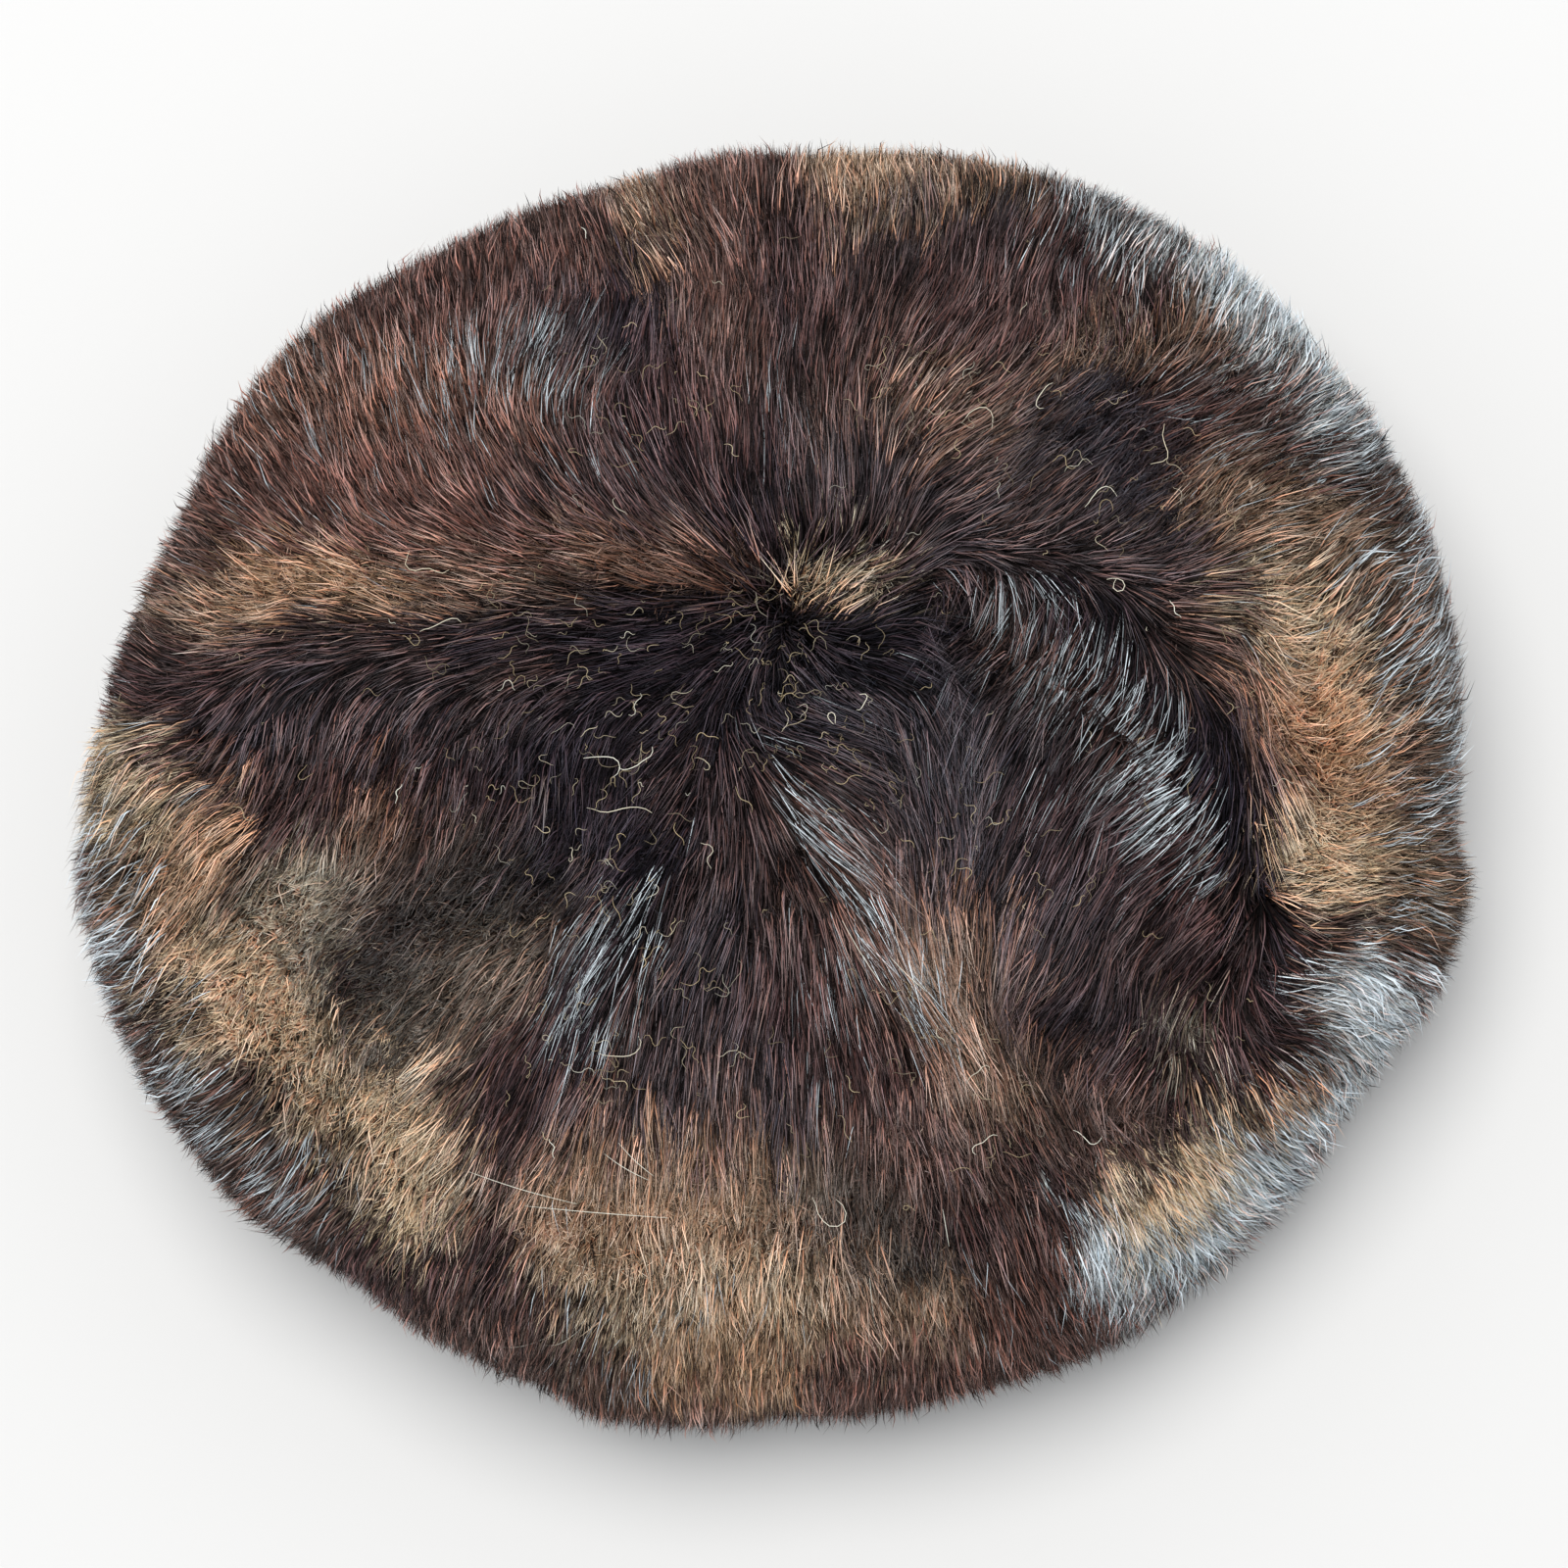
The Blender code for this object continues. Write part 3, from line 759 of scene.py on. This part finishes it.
def hairMesh(name, batches):
    # One joined mesh of flat tapering blades from the batches of strands.
    places = []
    shades = []
    loops = []
    sizes = []
    uvs = []
    before = 0
    for batch in batches:
        curve = batch["curve"]
        count, rings = curve.shape[:2]
        parts = rings - 1
        half = batch["side"][:, None] * batch["widths"][:, :, None] / 2
        pairs = np.stack((curve[:, :parts] - half, curve[:, :parts] + half), 2)
        points = np.concatenate((pairs.reshape(count, -1, 3), curve[:, parts:]), 1)
        shade = np.concatenate(
            (np.repeat(batch["shade"][:, :parts], 2, axis=1), batch["shade"][:, parts:]), 1
        )
        corners = []
        for part in range(parts - 1):
            low = part * 2
            corners += [low, low + 1, low + 3, low + 2]
        corners += [parts * 2 - 2, parts * 2 - 1, parts * 2]
        corners = np.array(corners)
        starts = before + np.arange(count)[:, None] * (parts * 2 + 1)
        spots = paletteSpots(shade)
        apart = np.append(np.tile((-0.004, 0.004), parts), 0.0)
        spots[:, :, 1] += apart
        places.append(points.reshape(-1, 3))
        shades.append(shade.reshape(-1, 3))
        loops.append((starts + corners).ravel())
        sizes.append(np.tile([4] * (parts - 1) + [3], count))
        uvs.append(spots[:, corners].reshape(-1, 2))
        before += count * (parts * 2 + 1)
    return meshFrom(name, *[np.concatenate(part) for part in (places, shades, loops, sizes, uvs)])


def meshFrom(name, places, shades, loops, sizes, uvs):
    mesh = bpy.data.meshes.new(name)
    mesh.vertices.add(len(places))
    mesh.vertices.foreach_set("co", places.astype(np.float32).ravel())
    mesh.loops.add(len(loops))
    mesh.loops.foreach_set("vertex_index", loops.astype(np.int32))
    mesh.polygons.add(len(sizes))
    mesh.polygons.foreach_set("loop_start", np.append(0, np.cumsum(sizes)[:-1]).astype(np.int32))
    mesh.update(calc_edges=True)
    colour = mesh.color_attributes.new("furColour", "FLOAT_COLOR", "POINT")
    full = np.concatenate((shades, np.ones((len(shades), 1))), 1)
    colour.data.foreach_set("color", full.astype(np.float32).ravel())
    layer = mesh.uv_layers.new(name="OFBake")
    layer.data.foreach_set("uv", uvs.astype(np.float32).ravel())
    mesh.validate()
    piece = bpy.data.objects.new(name, mesh)
    bpy.context.scene.collection.objects.link(piece)
    return piece


def furFinish(name, roughness, gloss):
    # Hair colour from the strands' own attribute, mottled finely along them.
    graph = Graph(name)
    where = graph.add("ShaderNodeTexCoord").outputs["Object"]
    colour = graph.add("ShaderNodeAttribute", {"attribute_name": "furColour"}).outputs["Color"]
    mottle = graph.clamp(graph.noise(where, 900.0, 2.0), 0.3, 0.7, 0.0, 0.35)
    darker = graph.mix(0.55, colour, (0.0, 0.0, 0.0, 1.0))
    graph.feed(graph.shader.inputs["Base Color"], graph.mix(mottle, colour, darker))
    rough = roughness + 0.2 * graph.noise(where, 260.0, 2.0)
    graph.feed(graph.shader.inputs["Roughness"], rough)
    graph.shader.inputs["Specular IOR Level"].default_value = gloss
    return graph.material


# Three kinds of hair grow together: long guard hair, the coat under it, and wool.
crownFur = {
    "perSquareCm": (330, 960, 1150),  # where that kind grows thickest
    "sleek": (0.5, 1.0, 0.10),  # share of it that grows in flat glossy fur
    "woolly": (0.025, 0.08, 1.0),  # and in woolly fur
    "paintedSheen": (True, False, False),  # whether pale hairs of painted sheen are among it
    "reach": (0.0122, 0.0086, 0.0032),  # length along the pelt, in metres
    "proud": (0.0013, 0.0008, 0.0010),  # how far its tips stand over the pelt
    "standOff": (0.001, 0.001, 0.001),  # the most that they may stand past that
    "buried": (0.0016, 0.0017, 0.0009),  # depth of the roots
    "width": (0.00016, 0.00031, 0.00029),
    "veer": (8, 9, 55),  # degrees that single hairs stray from the nap
    "curl": (0.00015, 0.0, 0.0),
    "wispPull": (0.6, 0.5, 0.55),  # how far tips are drawn together
    "lockPull": (0.10, 0.08, 0.0),
    "darkShare": (0.35, 0.5, 0.08),  # share of dark hairs
    "contrast": (0.4, 0.42, 0.35),  # from hair to hair
    "wispContrast": (0.5, 0.55, 0.35),  # from wisp to wisp
    "tousle": (1.6, 2.4, 0.6),  # how much more it strays in woolly fur
    "roll": (50, 60, 70),  # degrees that a flat hair may turn about its length
    "parts": (2, 1, 1),
    "sleekGain": (1.7, 0.85, 1.0),  # brightness in glossy fur
    "woolGain": (0.9, 1.1, 1.35),  # and in woolly fur
    "darkGloss": (0.4, -0.22, 0.0),  # how much brighter it is where the fur is dark: painted gloss on the guard hairs
    "endSheenGrey": (0.12, 0.0, 0.0),  # how grey its end is, as painted sheen
}

# The band's fur is like the crown's, apart from these.
bandFur = crownFur | {
    "perSquareCm": (190, 680, 800),
    "sleek": (0.5, 1.0, 0.12),
    "woolly": (0.04, 0.12, 1.0),
    "reach": (0.0122, 0.0088, 0.0036),
    "proud": (0.0016, 0.0010, 0.0010),
    "standOff": (0.004, 0.004, 0.004),
    "buried": (0.0016, 0.0018, 0.0010),
    "width": (0.00018, 0.00035, 0.00032),
    "veer": (9, 9, 50),
    "curl": (0.0002, 0.0, 0.0),
    "tousle": (1.4, 2.0, 0.6),
}


def hairKinds(fur):
    # One set of values for each kind of hair.
    return [{key: values[kind] for key, values in fur.items()} for kind in range(3)]


# Brightness here is against the tone of the patch.
hairTint = {
    "darkTone": 25,  # a tone counts as dark below one part in this of white
    "sheenDims": 0.55,  # how much darker plain hairs are among painted-sheen ones
    "solidSheen": 0.9,  # except where the share of painted sheen is higher than this
    "clumps": ((0.7, 0.0015, 61), (0.6, 0.0045, 62)),
    "sleekClumps": 0.35,
    "woolClumps": 0.45,
    "darkHair": 0.08,
    "lightHair": 1.65,
    "brightest": 4.0,
    "warmth": 0.07,  # how much warmer or cooler single hairs are
    "sheenGreyGain": 0.13,  # painted sheen: how much greyer the end of a brighter hair is
    "mostSheenGrey": 0.5,
    "sheenByWisp": 0.35,  # share of the hairs that take painted sheen wisp by wisp
    "sheenCount": 0.78,
    "sheenSpread": (0.35, 1.4),
    "sheenLevel": (0.6, 0.6),  # how bright the painted sheen is, and what a full share adds
    "sheenParts": (0.1, 0.75),  # a painted-sheen hair's root and middle against its tip, the root dark as painted shade
    "shadeWarmth": (1.5, 0.86, 0.74),  # painted shade and sheen: the shaded lower hair is warmer than its lit end
    "root": (0.1, 0.34),  # a root's brightness, darkened as painted shade, in glossy fur, and what wool adds
    "middle": 0.4,
    "middleWarm": 0.4,
    "tip": 1.3,
    "tipWarm": -0.15,
    "palest": 0.9,
}


def hairShades(seen, share, wisps, build, rng):
    # Colours at each hair's root, middle and tip, with painted shade and sheen, and which hairs
    # have pale tips of painted sheen.
    count = len(seen)
    tone, wool = coloursAt(seen)
    wool = wool[:, None]
    # Painted gloss: where the fur is dark, guard hairs are lighter and the coat darker.
    depth = np.clip(1 - hairTint["darkTone"] * tone.mean(axis=1, keepdims=True), 0, 1)
    tone = tone * (1 + build["darkGloss"] * depth)
    tone = tone * growth["toneGain"] * (build["sleekGain"] * (1 - wool) + build["woolGain"] * wool)
    tone = tone * (1 - hairTint["sheenDims"] * share * (share < hairTint["solidSheen"]))
    clumps = layered(seen, hairTint["clumps"])[:, None]
    tone = tone * np.exp((hairTint["sleekClumps"] + hairTint["woolClumps"] * wool) * clumps)

    dark = rng.random((count, 1)) < build["darkShare"] * (1 - 0.5 * wool)
    vary = np.where(dark, hairTint["darkHair"], hairTint["lightHair"])
    vary = vary * np.exp(rng.normal(0, build["contrast"], (count, 1)))
    vary = vary * np.exp(rng.normal(0, build["wispContrast"], (count, 1))[wisps])
    vary = np.minimum(vary, hairTint["brightest"])
    warm = rng.normal(0, hairTint["warmth"], (count, 1))
    tone = tone * vary * np.concatenate((1 + warm, np.ones((count, 1)), 1 - warm), 1)
    # Painted sheen: the ends of brighter hairs are greyed as light glancing off them would grey
    # them.
    sheenGreying = (vary - 1.0) * hairTint["sheenGreyGain"] + build["endSheenGrey"]
    sheenGreying = np.clip(sheenGreying, 0, hairTint["mostSheenGrey"])
    sheenGreyed = tone + sheenGreying * (tone.mean(axis=1, keepdims=True) - tone)

    # Painted sheen: pale steel-blue tips on some guard hairs, where light glances off them.
    paintedSheen = np.zeros((count, 1), bool)
    if build["paintedSheen"]:
        byWisp = rng.random(count) < hairTint["sheenByWisp"]
        lot = np.where(byWisp, rng.random(count)[wisps], rng.random(count))
        paintedSheen = lot[:, None] < share**1.5 * hairTint["sheenCount"]
    level, more = hairTint["sheenLevel"]
    pale = linear(tones["paintedSheen"]) * rng.uniform(*hairTint["sheenSpread"], (count, 1))
    pale = pale * (level + more * share**2)
    paleRoot, paleMiddle = hairTint["sheenParts"]
    level, more = hairTint["root"]
    shadeWarm = np.array(hairTint["shadeWarmth"])
    # Painted shade and light: roots dark where the fur shades them, tips brighter.
    roots = np.where(paintedSheen, pale * paleRoot, tone * (level + more * wool) * shadeWarm)
    middles = (tone + sheenGreyed) * hairTint["middle"] * shadeWarm ** hairTint["middleWarm"]
    middles = np.where(paintedSheen, pale * paleMiddle, middles)
    tips = np.where(paintedSheen, pale, sheenGreyed * hairTint["tip"] * shadeWarm ** hairTint["tipWarm"])
    if build["parts"] == 1:
        shades = np.stack((roots, tips), 1)
    else:
        shades = np.stack((roots, middles, tips), 1)
    highest = np.maximum(shades.max(-1, keepdims=True), 1e-6)
    return shades * np.minimum(1, hairTint["palest"] / highest), paintedSheen


def strands(surface, build, rng, wanted):
    roots, normals, wool = rootsOn(surface, build, rng, wanted)
    count = len(roots)
    curve, wisps = hairCurves(roots, normals, build, rng, 1 + build["tousle"] * wool)
    along = curve[:, -1] - roots
    seen = roots + along * strand["colourPlace"] + rng.normal(0, growth["mingle"], (count, 3))
    seen += unit(along) * rng.normal(0, growth["streak"], (count, 1))[wisps]
    share = sheenShareAt(seen)[:, None]
    shade, paintedSheen = hairShades(seen, share, wisps, build, rng)
    width = build["width"] * rng.uniform(*strand["widths"], (count, 1))
    least, more = strand["sheenWidth"]
    width = np.where(paintedSheen, width * (least + more * share**3), width)
    taper = 1 - strand["taper"] * (np.arange(build["parts"]) / build["parts"]) ** 2
    return {
        "curve": curve,
        "side": bladeSides(curve, normals, rng, build["roll"]),
        "widths": taper * width,
        "shade": shade,
        "roots": roots,
        "normals": normals,
    }


def trimmed(batch, kept):
    return {key: value[kept] for key, value in batch.items()}


# Skins under the fur


skins = {
    "depth": 0.0042,
    "thinnest": 0.0012,
    "overFloor": 0.0004,
    # painted shade: how dark the fur's tone is on the skin under the hair
    "shadeUnderHair": 0.35,
    "hide": (104, 78, 60),
    "hideDark": (74, 55, 44),
    "sharpEdge": 50,  # degrees
}


def skinFinish(name):
    graph = Graph(name)
    where = graph.add("ShaderNodeTexCoord").outputs["Object"]
    # The furred side takes the fur's tone darkened as painted shade.
    under = graph.add("ShaderNodeAttribute", {"attribute_name": "furColour"}).outputs["Color"]
    grain = graph.noise(where, 420.0, 5.0, 0.7)
    cloud = graph.noise(where, 45.0, 3.0)
    hide = graph.mix(graph.clamp(cloud, 0.3, 0.7), rgba(skins["hide"]), rgba(skins["hideDark"]))
    furry = graph.add("ShaderNodeAttribute", {"attribute_name": "furry"}).outputs["Fac"]
    colour = graph.mix(Value(graph, furry), hide, under)
    dark = graph.mix(0.5, colour, (0.0, 0.0, 0.0, 1.0))
    colour = graph.mix(graph.clamp(grain, 0.3, 0.7), colour, dark)
    graph.feed(graph.shader.inputs["Base Color"], colour)
    graph.feed(graph.shader.inputs["Roughness"], 0.75 + 0.2 * cloud)
    graph.shader.inputs["Specular IOR Level"].default_value = 0.15
    heights = {"Strength": 0.6, "Distance": 0.0006, "Height": grain}
    bump = graph.add("ShaderNodeBump", None, heights).outputs["Normal"]
    graph.feed(graph.shader.inputs["Normal"], bump)
    return graph.material


def makeSkin(nodeName, bm, surface, material):
    # The pelt's own skin: its furred side lies under the hair roots and carries painted shade, the
    # fur's own tone darkened.
    furred = np.zeros(len(bm.verts), bool)
    furred[surface["index"].ravel()] = True
    isBand = nodeName == "side_band"
    for vert in bm.verts:
        if not furred[vert.index]:
            continue
        inward = Vector(surface["normals"][vert.index]) * skins["depth"]
        vert.co -= inward
        if isBand:
            vert.co.z = max(vert.co.z, skins["overFloor"])
        else:
            vert.co.z = max(vert.co.z, growth["ceiling"] + skins["thinnest"])
    soft = [vert for vert in bm.verts if furred[vert.index]]
    bmesh.ops.smooth_vert(
        bm, verts=soft, factor=0.4, use_axis_x=False, use_axis_y=False, use_axis_z=True
    )
    mesh = bpy.data.meshes.new(nodeName + "_skin")
    bm.to_mesh(mesh)
    bm.free()
    piece = bpy.data.objects.new(nodeName + "_skin", mesh)
    bpy.context.scene.collection.objects.link(piece)
    places = np.empty(len(mesh.vertices) * 3, np.float32)
    mesh.vertices.foreach_get("co", places)
    tone, _ = coloursAt(places.reshape(-1, 3).astype(float))
    shade = np.concatenate((tone * skins["shadeUnderHair"], np.ones((len(tone), 1))), 1)
    layer = mesh.color_attributes.new("furColour", "FLOAT_COLOR", "POINT")
    layer.data.foreach_set("color", shade.astype(np.float32).ravel())
    share = mesh.attributes.new("furry", "FLOAT", "POINT")
    share.data.foreach_set("value", furred.astype(np.float32))
    mesh.materials.append(material)
    mesh.polygons.foreach_set("use_smooth", np.ones(len(mesh.polygons), bool))
    mesh.set_sharp_from_angle(angle=math.radians(skins["sharpEdge"]))
    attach(piece, "root")
    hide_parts(nodeName)
    return piece


def everywhere(places):
    return np.ones(len(places))


def upperMore(places):
    # The shoulder, which shows most, has the densest fur.
    least = growth["sparsest"]
    more = (places[:, 2] - growth["denseFrom"]) / growth["denseOver"]
    return np.clip(least + more, least, 1.0)


crownNodes = (
    "crown_pelt_back_right",
    "crown_pelt_back_left",
    "crown_pelt_front_left",
    "crown_pelt_front_right",
)

furCrown = furFinish("crownHair", 0.42, 0.06)
furBand = furFinish("bandHair", 0.44, 0.07)
skinMaterial = skinFinish("peltSkin")
rng = np.random.default_rng(growth["seed"])
crownRoots = []
crownNormals = []

pelts = {nodeName: mergedCopy(nodeName) for nodeName in (*crownNodes, "side_band")}
surfaces = {
    nodeName: furSurface(bm, bandShows if nodeName == "side_band" else crownShows)
    for nodeName, bm in pelts.items()
}
hatCorners = np.concatenate([surface["corners"] for surface in surfaces.values()])
hatShape = bvhtree.BVHTree.FromPolygons(
    hatCorners.reshape(-1, 3).tolist(), np.arange(len(hatCorners) * 3).reshape(-1, 3).tolist()
)

for nodeName in crownNodes:
    surface = surfaces[nodeName]
    kinds = [strands(surface, build, rng, everywhere) for build in hairKinds(crownFur)]
    crownRoots.append(kinds[0]["roots"])
    crownNormals.append(kinds[0]["normals"])
    piece = hairMesh(nodeName.replace("pelt", "fur"), kinds)
    piece.data.materials.append(furCrown)
    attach(piece, "root")
    makeSkin(nodeName, pelts[nodeName], surface, skinMaterial)
    print(nodeName, "furred,", [len(kind["roots"]) for kind in kinds], "hairs")

surface = surfaces["side_band"]
kinds = [strands(surface, build, rng, upperMore) for build in hairKinds(bandFur)]
quarters = ("right", "back", "left", "front")
for number, side in enumerate(quarters):  # anticlockwise from the right
    batches = []
    for kind in kinds:
        angle = np.arctan2(kind["roots"][:, 1], kind["roots"][:, 0]) + math.pi / 4
        quarter = (angle % (2 * math.pi) // (math.pi / 2)).astype(int)
        batches.append(trimmed(kind, quarter == number))
    piece = hairMesh("band_fur_" + side, batches)
    piece.data.materials.append(furBand)
    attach(piece, "root")
    print("band", side, "furred,", [len(batch["roots"]) for batch in batches], "hairs")
makeSkin("side_band", pelts["side_band"], surface, skinMaterial)
guard = kinds[0]


# Lint and stray hairs lying on the crown


lint = {
    "count": 560,
    "lengths": (5, 40),  # in pixels of the photograph
    "bend": 110,  # degrees
    "rings": 10,
    "thick": 0.00007,  # half of a thread's width
    "above": 0.0013,  # how far over the pelt the threads lie
    "pixel": 0.000165,  # metres a pixel of the photograph
}

# Where curly threads gather, written as the patches are, with their share.
lintPatches = (
    (580, 680, 820, 720, 90, 1.0),
    (530, 840, 650, 900, 70, 1.0),
    (640, 780, 660, 790, 40, 0.8),
    (1060, 440, 1190, 520, 60, 0.9),
    (920, 400, 1050, 420, 50, 0.8),
    (620, 400, 700, 430, 50, 0.6),
    (840, 740, 880, 800, 50, 0.5),
    (900, 820, 1080, 900, 50, 0.35),
    (940, 1000, 1010, 1150, 50, 0.6),
    (830, 1190, 900, 1260, 50, 0.4),
    (580, 1040, 640, 1080, 40, 0.8),
    (440, 880, 520, 900, 50, 0.5),
    (700, 1000, 760, 1100, 50, 0.4),
    (420, 700, 560, 740, 60, 0.3),
)

# Single threads: x, y, length in pixels, way it runs, how far it bends, pale share.
singleThreads = (
    (438, 578, 70, -70, 90, 0.4),
    (622, 782, 60, -40, -200, 1.0),
    (655, 778, 50, 20, 230, 1.0),
    (1138, 600, 52, 0, 330, 0.7),
    (1196, 622, 24, 84, 10, 1.0),
    (850, 1236, 82, 10, 190, 0.8),
    (408, 812, 24, 95, 12, 1.0),
    (602, 246, 20, -68, 8, 1.0),
    (566, 1166, 24, -78, 16, 1.0),
    (1000, 1160, 40, 70, -160, 0.8),
    (1104, 1158, 40, 10, 60, 1.0),
    (634, 830, 74, 8, -60, 0.6),
    (1180, 460, 60, 60, 120, 0.4),
    (1120, 505, 50, 30, -140, 0.9),
    (1062, 410, 44, 80, -240, 0.7),
    (450, 640, 50, 10, -120, 0.6),
    (1000, 425, 60, 160, 150, 0.6),
    (640, 1070, 60, 20, 170, 0.6),
    (880, 720, 30, 60, 200, 0.8),
    (850, 735, 30, 20, -260, 0.7),
)

# Long straight pale hairs: the pixels where each starts and ends.
paleHairs = (
    (480, 1196, 590, 1232),
    (535, 1230, 680, 1243),
    (500, 1330, 545, 1262),
    (505, 1368, 570, 1352),
    (430, 1335, 520, 1300),
    (560, 1360, 600, 1345),
    (905, 975, 945, 1012),
    (860, 940, 905, 1010),
    (620, 1178, 660, 1206),
    (630, 1166, 668, 1196),
    (960, 1235, 966, 1270),
    (885, 1300, 888, 1345),
    (1255, 1230, 1330, 1260),
    (1160, 1290, 1200, 1330),
    (1390, 760, 1440, 730),
    (1400, 600, 1450, 540),
)


def onCrown(pixels):
    # The places and normals of the crown nearest to pixels of the photograph.
    seen = toPixel(lintGround["roots"])
    pixels = np.array(pixels)
    nearest = [np.argmin(np.linalg.norm(seen - pixel, axis=-1)) for pixel in pixels]
    return lintGround["roots"][nearest], lintGround["normals"][nearest]


def threadCurve(place, normal, length, way, bend, wobble, rng):
    across = unit(np.array(rightward) - normal * (normal @ np.array(rightward)))
    along = np.cross(normal, across)
    steps = (np.arange(lint["rings"]) + 0.5) / lint["rings"]
    swing = np.radians(way + bend * (steps - 0.5)) + wobble * np.sin(
        2 * math.pi * (steps * rng.uniform(0.7, 1.8) + rng.random())
    )
    swing += rng.normal(0, 0.25 * wobble, len(steps)).cumsum()
    moves = np.cos(swing)[:, None] * across + np.sin(swing)[:, None] * along
    curve = np.cumsum(moves, axis=0) * length / lint["rings"]
    curve -= curve.mean(axis=0)
    arch = np.sin(steps * math.pi)[:, None] * normal * min(length * 0.12, 0.0006)
    return place + normal * lint["above"] * rng.uniform(0.7, 1.5) + curve + arch


def threadMesh(name, curves, normals, thick, shades):
    # Three-sided tubes joined in one mesh.
    count, rings = curves.shape[:2]
    along = np.gradient(curves, axis=1)
    side = unit(np.cross(along, normals[:, None]))
    other = unit(np.cross(side, along))
    places = np.empty((count, rings, 3, 3))
    taper = np.sin(np.linspace(0.25, math.pi - 0.25, rings))[None, :, None] ** 0.5
    for corner in range(3):
        angle = 2 * math.pi * corner / 3 + 0.5
        around = side * math.cos(angle) + other * math.sin(angle)
        places[:, :, corner] = curves + around * thick[:, None, None] * taper
    columns = math.ceil(math.sqrt(count))
    loops = []
    uvs = []
    for ring in range(rings - 1):
        for corner in range(3):
            after = (corner + 1) % 3
            here = ring * 3
            loops.append((here + corner, here + after, here + 3 + after, here + 3 + corner))
            low, high = 0.1 + 0.8 * corner / 3, 0.1 + 0.8 * (corner + 0.9) / 3
            start, end = 0.1 + 0.8 * ring / rings, 0.1 + 0.8 * (ring + 1) / rings
            uvs.append(((low, start), (high, start), (high, end), (low, end)))
    loops = np.array(loops)[None] + np.arange(count)[:, None, None] * rings * 3
    cells = np.stack((np.arange(count) % columns, np.arange(count) // columns), -1)
    uvs = (np.array(uvs)[None] + cells[:, None, None]) / columns
    shade = np.repeat(shades[:, None], rings * 3, axis=1)
    return meshFrom(
        name,
        places.reshape(-1, 3),
        shade.reshape(-1, 3),
        loops.ravel(),
        np.full(count * (rings - 1) * 3, 4),
        uvs.reshape(-1, 2),
    )


def makeLint():
    rng = np.random.default_rng(growth["seed"] + 5)
    roots = lintGround["roots"]
    pixels = toPixel(roots)
    share = np.maximum(0.05, highestAt(pixels, lintPatches))
    chosen = rng.choice(len(roots), lint["count"], replace=False, p=share / share.sum())
    curves = []
    normals = []
    thick = []
    shades = []
    for hair in chosen:
        length = rng.uniform(*lint["lengths"]) * lint["pixel"]
        bend = rng.normal(0, lint["bend"])
        normal = lintGround["normals"][hair]
        way = rng.uniform(0, 360)
        curves.append(threadCurve(roots[hair], normal, length, way, bend, 0.9, rng))
        normals.append(normal)
        thick.append(lint["thick"] * rng.uniform(0.5, 0.95))
        pale = rng.random() ** 4
        shade = linear(tones["lint"]) * (1 - pale) + linear(tones["lintPale"]) * pale
        shades.append(shade * rng.uniform(0.25, 0.9))
    places, leans = onCrown([thread[:2] for thread in singleThreads])
    for place, normal, thread in zip(places, leans, singleThreads):
        length = thread[2] * lint["pixel"]
        curves.append(threadCurve(place, normal, length, thread[3], thread[4], 0.6, rng))
        normals.append(normal)
        thick.append(lint["thick"])
        pale = thread[5]
        shades.append(linear(tones["lint"]) * (1 - pale) + linear(tones["lintPale"]) * pale)
    starts, leans = onCrown([hair[:2] for hair in paleHairs])
    ends, _ = onCrown([hair[2:] for hair in paleHairs])
    steps = np.linspace(0, 1, lint["rings"])[:, None]
    for start, end, normal in zip(starts, ends, leans):
        curve = start * (1 - steps) + end * steps + normal * lint["above"] * 1.3
        curves.append(curve + normal * np.sin(steps * math.pi) * 0.0012)
        normals.append(normal)
        thick.append(lint["thick"] * 0.8)
        shades.append(linear(tones["lintPale"]) * 0.9)
    tubes = [np.array(part) for part in (curves, normals, thick, shades)]
    piece = threadMesh("lint_threads", *tubes)
    piece.data.materials.append(furFinish("lintThread", 0.5, 0.3))
    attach(piece, "root")


bandShoulder = guard["roots"][:, 2] > 0.05
lintGround = {
    "roots": np.concatenate(crownRoots + [guard["roots"][bandShoulder]]),
    "normals": np.concatenate(crownNormals + [guard["normals"][bandShoulder]]),
}
makeLint()
print("lint scattered")


# Stage: floor and light

stage = {
    "floorHalf": 12.0,
    "floorTone": (0.56, 0.56, 0.56, 1.0),
    "skyTone": (0.97, 0.985, 1.0, 1.0),
    "skyStrength": 0.925,
}

keyLight = {
    "place": (-0.05, 0.15, 1.35),
    "aim": (0, 0, 0.05),
    "size": 0.7,
    "power": 17.5,
    "tint": (1.0, 0.985, 0.96),
}


def makeFloor():
    bm = bmesh.new()
    bmesh.ops.create_grid(bm, x_segments=1, y_segments=1, size=stage["floorHalf"])
    mesh = bpy.data.meshes.new("floor")
    bm.to_mesh(mesh)
    bm.free()
    floor = bpy.data.objects.new("floor", mesh)
    bpy.context.scene.collection.objects.link(floor)
    graph = Graph("paleFloor")
    graph.shader.inputs["Base Color"].default_value = stage["floorTone"]
    graph.shader.inputs["Roughness"].default_value = 0.9
    graph.shader.inputs["Specular IOR Level"].default_value = 0.1
    mesh.materials.append(graph.material)


def makeLight(name, place, aim, size, power, tint):
    data = bpy.data.lights.new(name, "AREA")
    data.shape = "DISK"
    data.size = size
    data.energy = power
    data.color = tint
    light = bpy.data.objects.new(name, data)
    light.location = place
    light.rotation_euler = (Vector(place) - Vector(aim)).to_track_quat("Z", "Y").to_euler()
    bpy.context.scene.collection.objects.link(light)


def makeSky():
    world = bpy.data.worlds.new("studio")
    world.use_nodes = True
    back = world.node_tree.nodes["Background"]
    back.inputs["Color"].default_value = stage["skyTone"]
    back.inputs["Strength"].default_value = stage["skyStrength"]
    bpy.context.scene.world = world


makeFloor()
makeSky()
makeLight("keyLight", **keyLight)
bpy.context.scene.view_settings.view_transform = "Standard"
print("stage lit")
